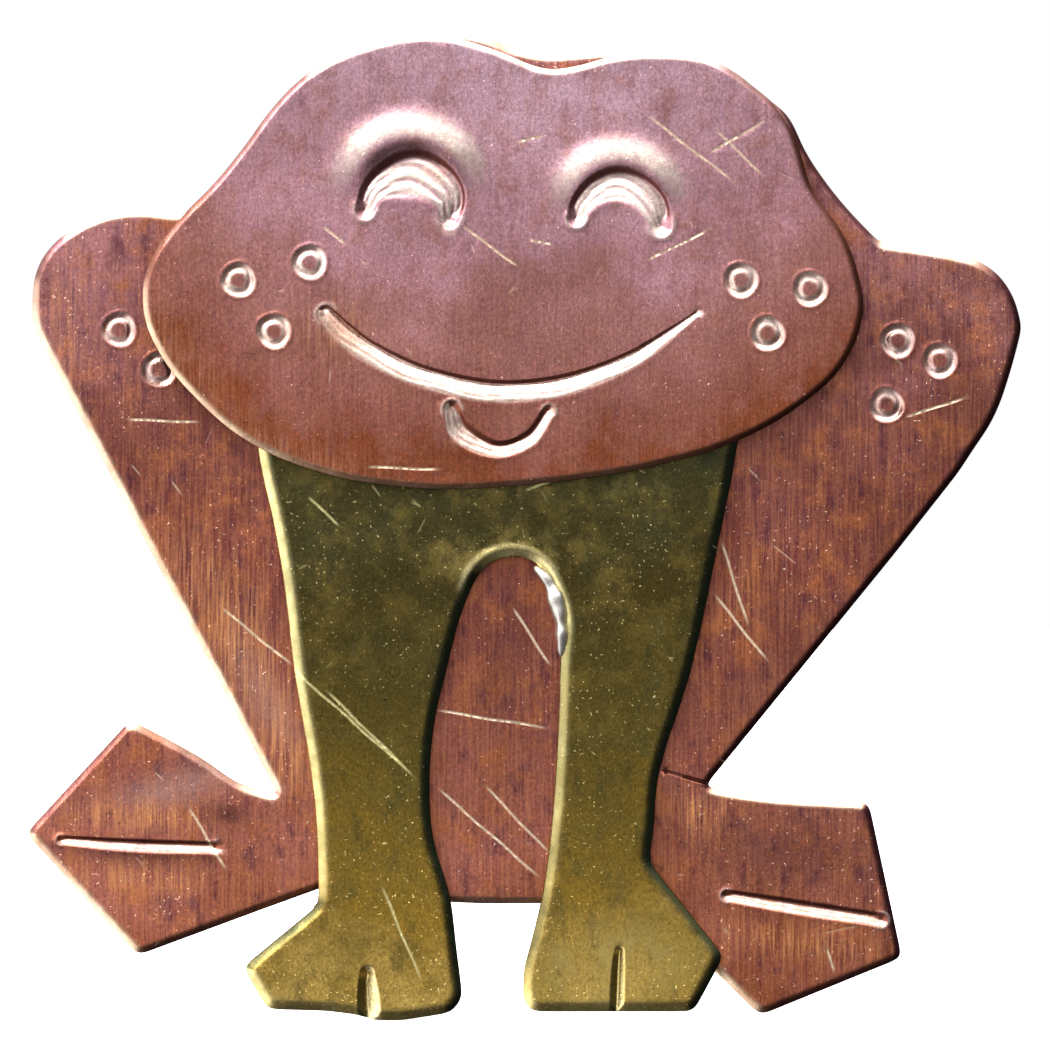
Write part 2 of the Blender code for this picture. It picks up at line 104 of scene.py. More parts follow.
BACK_LOW, BACK_HIGH = box("back_plate")
LEGS_LOW, LEGS_HIGH = box("front_legs_plate")
HEAD_LOW, HEAD_HIGH = box("head_plate")
SHEET = BACK_HIGH[1] - BACK_LOW[1]
HEAD_THINNER = 0.1                  # than the other sheets
CUT_ROUND = 0.28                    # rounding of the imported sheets' edges


def cut_outline(node):
    """The widest outline of a packed sheet, as an ordered, anticlockwise loop of spots."""
    mesh = frame["nodes"][node].data
    places = np.array([vertex.co for vertex in mesh.vertices]) / MM
    level = places[:, 1].max() - CUT_ROUND
    on_level = np.abs(places[:, 1] - level) < 0.01
    spots = [tuple(np.round(place[[0, 2]], 2)) for place in places]
    ways = {}
    for edge in mesh.edges:
        a, b = edge.vertices
        if on_level[a] and on_level[b] and spots[a] != spots[b]:
            ways.setdefault(spots[a], set()).add(spots[b])
            ways.setdefault(spots[b], set()).add(spots[a])
    start = min(ways)
    loop = [start]
    here = sorted(ways[start])[0]
    while here != start:
        onward = [spot for spot in sorted(ways[here]) if spot != loop[-1]]
        loop.append(here)
        here = onward[0]
    loop = np.array(loop)
    return loop if signed_area(loop) > 0 else loop[::-1]


# ---------------------------------------------------------------- flat geometry

def signed_area(loop):
    after = np.roll(loop, -1, 0)
    return 0.5 * np.sum(loop[:, 0] * after[:, 1] - loop[:, 1] * after[:, 0])


def evenly(loop, step):
    """A closed loop, resampled at even steps."""
    closed = np.vstack([loop, loop[:1]])
    length = np.concatenate([[0], np.cumsum(np.hypot(*np.diff(closed, axis=0).T))])
    count = int(round(length[-1] / step))
    at = np.arange(count) * length[-1] / count
    return np.column_stack([np.interp(at, length, closed[:, axis]) for axis in (0, 1)])


def eased(loop, step, reach):
    """A loop whose corners are rounded by averaging its points over a reach."""
    offsets = np.arange(-int(3 * reach / step), int(3 * reach / step) + 1)
    weights = np.exp(-0.5 * (offsets * step / reach) ** 2)
    weights /= weights.sum()
    return sum(weight * np.roll(loop, offset, 0) for weight, offset in zip(weights, offsets))


def smooth_step(value, low, high):
    share = np.clip((value - low) / (high - low), 0, 1)
    return share * share * (3 - 2 * share)


def arc(centre, radius, first, last, count):
    """Spots on an arc, with angles in degrees."""
    angles = np.radians(np.linspace(first, last, count))
    return np.column_stack([centre[0] + radius * np.cos(angles), centre[1] + radius * np.sin(angles)])


def inward(loop):
    """The unit normal to the left of each point of a loop, which is where the metal is."""
    along = np.roll(loop, -2, 0) - np.roll(loop, 2, 0)
    normal = np.column_stack([-along[:, 1], along[:, 0]])
    return normal / np.linalg.norm(normal, axis=1)[:, None]


class Rim:
    """All the cut edges of a sheet: an outline and the holes in it."""

    def __init__(self, loops):
        self.loops = loops
        self.start = np.vstack(loops)
        self.along = np.vstack([np.roll(loop, -1, 0) - loop for loop in loops])
        self.normal = np.vstack([inward(loop) for loop in loops])
        self.before = np.concatenate([np.roll(index, 1) for index in self.indices()])
        self.tree = KDTree(len(self.start))
        for number, spot in enumerate(self.start):
            self.tree.insert((*spot, 0), number)
        self.tree.balance()

    def indices(self):
        """The place of each loop's points in the joined list."""
        ends = np.cumsum([len(loop) for loop in self.loops])
        return [np.arange(end - len(loop), end) for end, loop in zip(ends, self.loops)]

    def nearest(self, spots):
        return np.array([self.tree.find((x, z, 0))[1] for x, z in spots.tolist()])

    def depth(self, spots):
        """How far each spot is inside the nearest cut edge. Spots off the metal get a negative depth."""
        near = self.nearest(spots)
        best = np.full(len(spots), np.inf)
        for piece in (near, self.before[near]):
            gap = spots - self.start[piece]
            along = self.along[piece]
            share = np.clip((gap * along).sum(1) / (along ** 2).sum(1), 0, 1)
            best = np.minimum(best, np.hypot(*(gap - share[:, None] * along).T))
        inside = ((spots - self.start[near]) * self.normal[near]).sum(1) > 0
        return np.where(inside, best, -best)


def lattice(low, high, step):
    """A triangular lattice of spots over a rectangle."""
    rows = np.arange(low[1], high[1] + step, step * math.sqrt(0.75))
    columns = np.arange(low[0], high[0] + step, step)
    spots = [np.column_stack([columns + step / 2 * (number % 2), np.full(len(columns), row)])
             for number, row in enumerate(rows)]
    return np.vstack(spots)


def thinned(spots, least):
    """The spots in order, without those that come too close to an earlier one."""
    cells = {}
    kept = []
    limit = least * least
    for number, (x, z) in enumerate(spots.tolist()):
        column, row = int(x // least), int(z // least)
        crowded = False
        for near in ((column + i, row + j) for i in (-1, 0, 1) for j in (-1, 0, 1)):
            other = cells.get(near)
            if other and (other[0] - x) ** 2 + (other[1] - z) ** 2 < limit:
                crowded = True
                break
        if not crowded:
            cells[column, row] = (x, z)
            kept.append(number)
    return spots[kept]


def curve_through(knots, step=0.12):
    """Samples on a smooth open curve through (x, z, width) knots."""
    knots = np.asarray(knots, float)
    padded = np.vstack([2 * knots[0] - knots[1], knots, 2 * knots[-1] - knots[-2]])
    samples = []
    for a, b, c, d in zip(padded, padded[1:], padded[2:], padded[3:]):
        count = max(2, int(np.ceil(np.linalg.norm((c - b)[:2]) / step)))
        t = (np.arange(count) / count)[:, None]
        bend = (2 * a - 5 * b + 4 * c - d) * t ** 2 + (3 * b - a - 3 * c + d) * t ** 3
        samples.append(0.5 * (2 * b + (c - a) * t + bend))
    return np.vstack([*samples, knots[-1:]])


def ripple(spots, size, seed):
    """A gentle unevenness between about -1 and 1, with features of about a given size."""
    total = 0
    for number in range(5):
        angle = seed * 1.7 + number * 2.4
        pitch = TURN / (size * (0.75 + 0.21 * number))
        across = spots[:, 0] * math.cos(angle) + spots[:, 1] * math.sin(angle)
        total = total + np.sin(across * pitch + seed * 3.1 + number * 1.3)
    return total / 3


# ---------------------------------------------------------------- marks stamped into a sheet

def keep_most(sheet, key, value, where=slice(None)):
    """Raises one of a sheet's values at some spots, where the new value is greater."""
    sheet[key][where] = np.maximum(sheet[key][where], value)


class Mark:
    """Something on a sheet's face. A mark without depth needs no spots of its own."""

    def covers(self, spots):
        """Which spots of the sheet's even lattice give way to the mark's own."""
        return np.zeros(len(spots), bool)

    def spots(self):
        return np.zeros((0, 2))


@dataclass
class Groove(Mark):
    """A chisel mark along a curve of (x, z, half width) knots.

    Its deepest line lies towards the left of the way along. The wall there is steep, and the other wall
    is a wide, gentle floor. A lean of 0 makes an even V. The lean changes to its end value along the way,
    and a pinch of 1 takes it away at the two ends.
    """

    knots: list
    depth: float
    lean: float = 0.0
    lip: float = 0.0
    crinkle: float = 0.0
    pale: float = 1.0
    bow: float = 1.0
    furrow: float = 0.0
    lean_end: float = None
    pinch: float = 1.0

    REACH = 1.7

    def __post_init__(self):
        self.path = curve_through(self.knots)
        if self.lean_end is None:
            self.lean_end = self.lean

    def measure(self, spots):
        """Each spot's signed share of the half width, its place along, and the half width there."""
        start = self.path[:-1]
        along = self.path[1:, :2] - start[:, :2]
        gap = spots[:, None] - start[:, :2]
        share = np.clip((gap * along).sum(2) / (along ** 2).sum(1), 0, 1)
        miss = gap - share[..., None] * along
        width = np.maximum(start[:, 2] + share * np.diff(self.path[:, 2]), 0.03)
        off = np.hypot(miss[..., 0], miss[..., 1]) / width
        best = off.argmin(1)
        row = np.arange(len(spots))
        side = np.sign(along[best, 0] * gap[row, best, 1] - along[best, 1] * gap[row, best, 0])
        return side * off[row, best], best + share[row, best], width[row, best]

    def near(self, spots):
        reach = self.path[:, 2].max() * self.REACH
        low, high = self.path[:, :2].min(0) - reach, self.path[:, :2].max(0) + reach
        return np.flatnonzero(((spots > low) & (spots < high)).all(1))

    def covers(self, spots):
        found = super().covers(spots)
        near = self.near(spots)
        if len(near):
            found[near] = np.abs(self.measure(spots[near])[0]) < 1.55
        return found

    def spots(self):
        """Rows of spots along the mark, close together across its walls."""
        shares = np.array([0, 1, -1, self.lean, 0.8, -0.8, 0.9, -0.9, -0.6, 0.6, -0.4, 0.4, -0.2, 0.2,
                           1.1, -1.1, 1.25, -1.25, 1.5, -1.5])
        if self.furrow:
            shares = np.concatenate([shares, np.arange(-0.9, 1, 0.2)])
        path = curve_through(self.path[::3], 0.09) if len(self.path) > 12 else self.path
        along = np.gradient(path[:, :2], axis=0)
        along /= np.linalg.norm(along, axis=1)[:, None]
        normal = np.column_stack([-along[:, 1], along[:, 0]])
        rows = [path[:, :2] + share * path[:, 2:] * normal for share in shares]
        for end, away in ((path[0], -along[0]), (path[-1], along[-1])):
            heading = math.degrees(math.atan2(away[1], away[0]))
            for share in (1, 0.8, 0.6, 0.4, 0.2, 1.1, 1.25, 1.5):
                rows.append(arc(end[:2], share * end[2], heading - 90, heading + 90, 13))
        return np.vstack(rows)

    def cut(self, spots, sheet):
        near = self.near(spots)
        if not len(near):
            return
        share, place, width = self.measure(spots[near])
        steps = np.linalg.norm(np.diff(self.path[:, :2], axis=0), axis=1).mean()
        from_end = np.minimum(place, len(self.path) - 1 - place) * steps
        lean = self.lean + (self.lean_end - self.lean) * place / len(self.path)
        lean = lean * (1 - self.pinch * smooth_step(from_end, 1.1 * width, 0))
        floor = np.clip((share + 1) / (1 + lean), 0, 1) ** self.bow
        wall = np.clip((1 - share) / (1 - lean), 0, 1)
        fullness = (width / self.path[:, 2].max()) ** 0.6
        depth = self.depth * fullness * np.where(share < lean, floor, wall)
        on_floor = smooth_step(share, -1, -0.8) * smooth_step(share, lean + 0.05, lean - 0.1)
        worn = np.sin(share * 11 + 1.6 * np.sin(place * 0.21)) * 0.7 + np.sin(share * 19 + place * 0.3) * 0.3
        depth += self.crinkle * worn * on_floor
        ends = smooth_step(from_end, 1.2 * width, 0.2 * width)
        lip_side = np.maximum(ends, 0.45 * (share < 0))
        lip = self.lip * fullness * lip_side * np.exp(-((np.abs(share) - 1.2) / 0.17) ** 2)
        # Painted highlight on the floor where it faces the light, broken into furrows, and on the raised lips
        # at the ends.
        lit_floor = smooth_step(share, lean + 0.1, lean - 0.25) * smooth_step(share, -1.12, -0.75)
        furrow = 1 - self.furrow * smooth_step(worn, 0.15, 0.75)
        # Painted shadow on the steep wall.
        shadow = smooth_step(share, lean - 0.1, lean + 0.12) * smooth_step(np.abs(share), 1.08, 0.95)
        keep_most(sheet, "sunk", depth, near)
        keep_most(sheet, "raised", lip, near)
        keep_most(sheet, "pale", self.pale * lit_floor * furrow, near)
        keep_most(sheet, "pale", 0.8 * lip / max(self.lip, 1e-6) * ends, near)
        keep_most(sheet, "dark", shadow * (1 - 0.7 * ends), near)


@dataclass
class Ring(Mark):
    """A round punch mark: a circular groove with a low boss in the middle, and a painted glint in the groove.
    Its tilt varies it.
    """

    centre: tuple
    tilt: float

    RADIUS = 0.55
    HALF_WIDTH = 0.23
    DEPTH = 0.12
    BOSS = 0.03
    LIP = 0.03

    def covers(self, spots):
        return np.hypot(*(spots - self.centre).T) < 1.2

    def spots(self):
        radii = (0, 0.14, 0.26, 0.34, 0.4, 0.46, 0.52, 0.58, 0.62, 0.66, 0.72, 0.78, 0.84, 0.9, 0.98, 1.1)
        counts = [max(1, int(46 * min(1, radius))) for radius in radii]
        return np.vstack([arc(self.centre, radius, 0, 350, count) for radius, count in zip(radii, counts)])

    def cut(self, spots, sheet):
        off = spots - self.centre
        angle = np.arctan2(off[:, 1], off[:, 0])
        radius = np.hypot(*off.T) * (1 + 0.03 * np.sin(3 * angle + self.tilt))
        uneven = 0.95 + 0.35 * np.cos(angle - self.tilt) + 0.15 * np.sin(4 * angle + 2 * self.tilt)
        share = (radius - self.RADIUS) / self.HALF_WIDTH
        groove = 0.5 + 0.5 * np.cos(math.pi * np.clip(share, -1, 1))
        # Painted glint in the groove, strongest on the side that faces the light; the middle is made a little
        # darker.
        glint = smooth_step(np.abs(share), 1.15, 0.6)
        toward_light = np.cos(angle - 0.85 + 0.35 * math.sin(self.tilt)) ** 2
        keep_most(sheet, "sunk", self.DEPTH * uneven * groove + self.BOSS * smooth_step(radius, 0.5, 0.3))
        keep_most(sheet, "raised", self.LIP * np.exp(-((share - 1.25) / 0.22) ** 2))
        keep_most(sheet, "pale", glint * (0.55 + 0.4 * toward_light))
        keep_most(sheet, "dark", 0.15 * smooth_step(radius, 0.4, 0.2))


@dataclass
class Brow(Mark):
    """A ridge along an arc: steep towards its centre and gentle away from it, with a painted highlight on its
    far slope and painted shade on its steep side.
    """

    centre: tuple
    rise: float
    crest: float = 2.55
    foot: float = 4.4
    glow: float = 1.0
    shade: float = 0.4

    def spots(self):
        radii = np.linspace(self.crest - 0.6, self.foot, 16)
        return np.vstack([arc(self.centre, radius, -10, 190, 60) for radius in radii])

    def cut(self, spots, sheet):
        off = spots - self.centre
        radius = np.hypot(*off.T)
        angle = np.degrees(np.arctan2(off[:, 1], off[:, 0]))
        fall = self.foot - self.crest
        spread = smooth_step(angle, 0, 50) * smooth_step(angle, 185, 130)
        outer = 0.5 + 0.5 * np.cos(math.pi * np.clip((radius - self.crest) / fall, 0, 1))
        inner = smooth_step(radius, self.crest - 0.75, self.crest)
        glow = smooth_step(radius, self.crest - 0.05, self.crest + 0.24 * fall)
        glow *= smooth_step(radius, self.foot - 0.16 * fall, self.crest + 0.38 * fall)
        shade = smooth_step(radius, self.crest - 0.5, self.crest - 0.3)
        shade *= smooth_step(radius, self.crest + 0.1, self.crest - 0.2)
        keep_most(sheet, "raised", self.rise * spread * outer * inner)
        keep_most(sheet, "pale", self.glow * glow * spread)
        keep_most(sheet, "dark", self.shade * shade * spread)


@dataclass
class Scratch(Mark):
    """A thin, bright scratch between two spots, which wanders a little."""

    start: tuple
    end: tuple
    width: float = 0.035
    depth: float = 0.02
    shine: float = 1.0

    def __post_init__(self):
        self.start = np.array(self.start, float)
        along = np.array(self.end, float) - self.start
        self.length = np.linalg.norm(along)
        self.unit = along / self.length
        self.normal = np.array([-self.unit[1], self.unit[0]])

    @staticmethod
    def wander(along):
        return 0.02 * np.sin(along * 2.1)

    def covers(self, spots):
        return np.abs(self.measure(spots)[0]) < 2.5

    def measure(self, spots):
        """How many half widths off the scratch each spot is, and its share of the length."""
        off = spots - self.start
        along = off @ self.unit
        across = off @ self.normal - self.wander(along)
        beyond = np.maximum(np.maximum(-along, along - self.length), 0)
        return np.hypot(across, beyond) / self.width, along / self.length

    def spots(self):
        along = np.arange(0, self.length, 0.11)
        line = self.start + along[:, None] * self.unit
        offsets = [self.wander(along) + share * self.width for share in (0, -1, 1, -2.4, 2.4)]
        return np.vstack([line + offset[:, None] * self.normal for offset in offsets])

    def cut(self, spots, sheet):
        off, share = self.measure(spots)
        strength = np.clip(1 - off, 0, 1) * smooth_step(share, -0.02, 0.15) * smooth_step(share, 1.02, 0.8)
        burr = np.exp(-((off - 1.6) / 0.5) ** 2) * (share > 0) * (share < 1)
        bright = smooth_step(off, 1.9, 0.6) * smooth_step(share, -0.02, 0.1) * smooth_step(share, 1.02, 0.85)
        keep_most(sheet, "sunk", self.depth * strength)
        keep_most(sheet, "raised", 0.5 * self.depth * burr)
        keep_most(sheet, "scratch", self.shine * bright)


@dataclass
class Patch(Mark):
    """A soft-edged oval that adds to one of the sheet's values, as its key says: painted sheen, a painted
    highlight, or stains with painted shade. It has no depth.
    """

    key: str
    centre: tuple
    reach: tuple
    strength: float
    turn: float = 0.0

    def cut(self, spots, sheet):
        off = spots - self.centre
        turn = math.radians(self.turn)
        along = off @ np.array([math.cos(turn), math.sin(turn)])
        across = off @ np.array([-math.sin(turn), math.cos(turn)])
        oval = np.exp(-(along / self.reach[0]) ** 2 - (across / self.reach[1]) ** 2)
        keep_most(sheet, self.key, self.strength * oval)


def nicks(node, count, seed, longest=1.5):
    """Short, fine scratches scattered over a sheet, most of them falling to the right."""
    chance = random.Random(seed)
    low, high = box(node)
    made = []
    for _ in range(count):
        start = np.array([chance.uniform(low[0], high[0]), chance.uniform(low[2], high[2])])
        heading = chance.gauss(-48, 13) if chance.random() < 0.6 else chance.uniform(0, 180)
        length = 0.2 + longest * chance.random() ** 2
        end = start + length * np.array([math.cos(math.radians(heading)), math.sin(math.radians(heading))])
        made.append(Scratch(start, end, chance.uniform(0.016, 0.028), 0.008, chance.uniform(0.2, 0.7)))
    return made


# ---------------------------------------------------------------- sheets

REAR_STEP = 1.2
LEAST_GAP = 0.035                   # between the spots of a sheet
ATTRIBUTES = ("edge", "pale", "dark", "scratch", "warm", "lit")

# Painted light on a cut edge, by the heading that it faces (0 is right, 90 up, 180 left and 270 down): high
# values paint a highlight, low values painted shade.
EDGE_LIGHT = [(0, 0.1), (45, 0.2), (62, 0.35), (78, 1.0), (108, 0.95), (128, 0.2),
              (165, 0.25), (185, 0.7), (205, 1.0), (232, 0.95), (265, 0.4), (315, 0.05), (360, 0.1)]


def triangles(spots, loops):
    """Triangles between the spots, inside the first loop and outside the others. The loops come first."""
    borders = []
    first = 0
    for loop in loops:
        borders.append(list(range(first, first + len(loop))))
        first += len(loop)
    placed, _, faces, *_ = delaunay_2d_cdt(spots.tolist(), [], borders, 1, 1e-6)
    placed = np.array([tuple(spot) for spot in placed])
    faces = np.array([face for face in faces if len(face) == 3])
    a, b, c = (placed[faces[:, corner]] for corner in range(3))
    area = (b[:, 0] - a[:, 0]) * (c[:, 1] - a[:, 1]) - (b[:, 1] - a[:, 1]) * (c[:, 0] - a[:, 0])
    faces = faces[np.abs(area) > 1e-9]
    area = area[np.abs(area) > 1e-9]
    faces[area < 0] = faces[area < 0][:, ::-1]
    return placed, faces


def shoulder(rim, width):
    """Rows of spots inside the cut edges, where the filed edge is."""
    rows = []
    for loop in rim.loops:
        normal = inward(loop)
        for share in (0.12, 0.3, 0.5, 0.7, 0.85, 1.0):
            row = loop + share * width * normal
            rows.append(row[rim.depth(row) > share * width - 0.012])
        row = (loop + width * 1.3 * normal)[::2]
        rows.append(row[rim.depth(row) > width * 1.25])
    return np.vstack(rows)


def sheet_side(rim, edge, step, marks=()):
    """The spots and triangles of one side of a sheet."""
    grid = lattice(rim.start.min(0), rim.start.max(0), step)
    for mark in marks:
        grid = grid[~mark.covers(grid)]
    grid = grid[rim.depth(grid) > edge * 1.3 + step * 0.5]
    inner = np.vstack([*(mark.spots() for mark in marks), shoulder(rim, edge), grid])
    inner = inner[rim.depth(inner) > 0.02]
    inner = thinned(inner, LEAST_GAP)
    placed, faces = triangles(np.vstack([rim.start, inner]), rim.loops)
    return placed, faces


def edge_drop(distance, width, fall):
    """How far a filed edge has fallen below the face, at a distance from the cut."""
    return fall * np.clip(1 - distance / width, 0, 1) ** 1.5


def make_sheet(name, loops, front, rear, place, edge, fall, step, marks=(), wave=0.012,
               wave_size=7.0, seed=1.0, rear_wave=0.008, rear_edge=0.15, tool=0.0):
    """A sheet between two heights, with filed edges. place(spots, height) says where it stands.

    Wave is the depth of the face's unevenness, and tool the depth of the dents beside its filed edge.
    """
    rim = Rim(loops)
    count = len(rim.start)
    spots, faces = sheet_side(rim, edge, step, marks)
    distance = np.maximum(rim.depth(spots), 0)
    distance[:count] = 0
    sheet = {key: np.zeros(len(spots)) for key in ("sunk", "raised", "pale", "dark", "scratch", "warm")}
    for mark in marks:
        mark.cut(spots, sheet)
    calm = smooth_step(distance, 0.1, 1.0)
    drop = edge_drop(distance, edge, fall)
    height = front + wave * ripple(spots, wave_size, seed) * calm
    if tool:
        beside_edge = smooth_step(distance, 0.0, 0.25) * smooth_step(distance, 1.2, 0.3)
        height += tool * ripple(spots, 1.1, seed + 4) * beside_edge
    height += sheet["raised"] * smooth_step(distance, 0.0, 0.5) - np.maximum(drop, sheet["sunk"])

    rear_spots, rear_faces = sheet_side(rim, rear_edge, REAR_STEP)
    rear_distance = np.maximum(rim.depth(rear_spots), 0)
    rear_distance[:count] = 0
    rear_height = rear + edge_drop(rear_distance, rear_edge, 0.7 * rear_edge)
    rear_rise = rear_wave * (ripple(rear_spots, wave_size, seed + 2) + 1.2)
    rear_height += rear_rise * smooth_step(rear_distance, 0.1, 1.0)

    wall = []
    first = 0
    for loop in loops:
        for number in range(len(loop)):
            a, b = first + number, first + (number + 1) % len(loop)
            wall.append((b, a, len(spots) + a, len(spots) + b))
        first += len(loop)
    corners = np.vstack([place(spots, height), place(rear_spots, rear_height)])
    polygons = faces.tolist() + (rear_faces[:, ::-1] + len(spots)).tolist() + wall
    mesh = bpy.data.meshes.new(name)
    mesh.from_pydata((corners * MM).tolist(), [], polygons)
    outward = -rim.normal[rim.nearest(spots)]
    heading = np.degrees(np.arctan2(outward[:, 1], outward[:, 0])) % 360
    sheet["edge"] = smooth_step(distance, edge * 1.35, edge * 0.35)
    # Painted light on the filed edges: how much each edge point faces the light, from EDGE_LIGHT by its
    # heading, raised inside the sheen patches.
    sheet["lit"] = np.maximum(np.interp(heading, *zip(*EDGE_LIGHT)), sheet["warm"])
    behind = {"edge": smooth_step(rear_distance, rear_edge * 1.5, 0.0), "lit": np.full(len(rear_spots), 0.5)}
    for key in ATTRIBUTES:
        rest = behind.get(key, np.zeros(len(rear_spots)))
        layer = mesh.attributes.new(key, "FLOAT", "POINT")
        layer.data.foreach_set("value", np.concatenate([sheet[key], rest]).astype(np.float32))
    mesh.validate()
    mesh.shade_smooth()
    return add_object(name, mesh)


def facing(spots, height):
    """Stands a sheet up to face the viewer: height grows towards -Y."""
    return np.column_stack([spots[:, 0], -height, spots[:, 1]])


# ---------------------------------------------------------------- material nodes

class Paint:
    """A metal's node tree, with short calls for the nodes that it needs."""

    def __init__(self, name, roughness):
        self.material = bpy.data.materials.new(name)
        self.material.use_nodes = True
        self.tree = self.material.node_tree
        self.shader = self.tree.nodes["Principled BSDF"]
        self.shader.inputs["Metallic"].default_value = 1.0
        self.shader.inputs["Roughness"].default_value = roughness
        spot = self.node("ShaderNodeTexCoord").outputs["Object"]
        in_mm = self.node("ShaderNodeVectorMath", {0: spot, 1: (1 / MM,) * 3}, operation="MULTIPLY")
        self.spot = in_mm.outputs[0]

    def node(self, kind, inputs=None, **settings):
        return add_node(self.tree, kind, inputs, **settings)

    def math(self, operation, a, b=0.5, c=0.0, clamp=False):
        inputs = {0: a, 1: b, 2: c}
        return self.node("ShaderNodeMath", inputs, operation=operation, use_clamp=clamp).outputs[0]

    def times(self, a, b):
        return self.math("MULTIPLY", a, b)

    def remap(self, value, low, high, to_low=0.0, to_high=1.0):
        inputs = {"Value": value, "From Min": low, "From Max": high, "To Min": to_low, "To Max": to_high}
        return self.node("ShaderNodeMapRange", inputs).outputs[0]

    def noise(self, pitch, detail=2.0, stretch=(1, 1, 1), shift=0.0, rough=0.55):
        """Noise between 0 and 1, with features of about a pitch in millimetres."""
        scale = tuple(1 / (pitch * axis) for axis in stretch)
        inputs = {0: self.spot, 1: scale, 2: (shift,) * 3}
        moved = self.node("ShaderNodeVectorMath", inputs, operation="MULTIPLY_ADD")
        inputs = {"Vector": moved.outputs[0], "Scale": 1.0, "Detail": detail, "Roughness": rough}
        return self.node("ShaderNodeTexNoise", inputs).outputs["Fac"]

    def flecks(self, pitch, amount, shift):
        """Ragged specks of about a pitch in millimetres: 1 on a speck, 0 beside it."""
        return self.remap(self.noise(pitch, 3.0, shift=shift, rough=0.6), 0.76 - amount, 0.80 - amount)

    def axis(self, name):
        return self.node("ShaderNodeSeparateXYZ", {0: self.spot}).outputs[name]

    def shaded(self, colour, shade):
        """A colour made lighter or darker by a number."""
        grey = self.node("ShaderNodeCombineColor", {0: shade, 1: shade, 2: shade}).outputs[0]
        return self.mix(1.0, colour, grey, "MULTIPLY")

    def attribute(self, name):
        return self.node("ShaderNodeAttribute", attribute_name=name).outputs["Fac"]

    def ramp(self, value, stops):
        made = self.node("ShaderNodeValToRGB", {0: value})
        points = made.color_ramp.elements
        while len(points) < len(stops):
            points.new(0.5)
        for point, (position, colour) in zip(points, stops):
            point.position = position
            point.color = (*colour, 1)
        return made.outputs[0]

    def mix(self, factor, a, b, blend="MIX"):
        def socket(value):
            return value if isinstance(value, bpy.types.NodeSocket) else (*value, 1)
        inputs = {0: factor, 6: socket(a), 7: socket(b)}
        return self.node("ShaderNodeMix", inputs, data_type="RGBA", blend_type=blend).outputs[2]

    def finish(self, colour, roughness, bumps):
        """Sets the colour and roughness, and stacks bumps of (height, depth in millimetres)."""
        self.tree.links.new(colour, self.shader.inputs["Base Color"])
        self.tree.links.new(roughness, self.shader.inputs["Roughness"])
        normal = None
        for height, depth in bumps:
            inputs = {"Height": height, "Distance": depth * MM, "Strength": 1.0}
            if normal:
                inputs["Normal"] = normal
            normal = self.node("ShaderNodeBump", inputs).outputs[0]
        self.tree.links.new(normal, self.shader.inputs["Normal"])
        return self.material


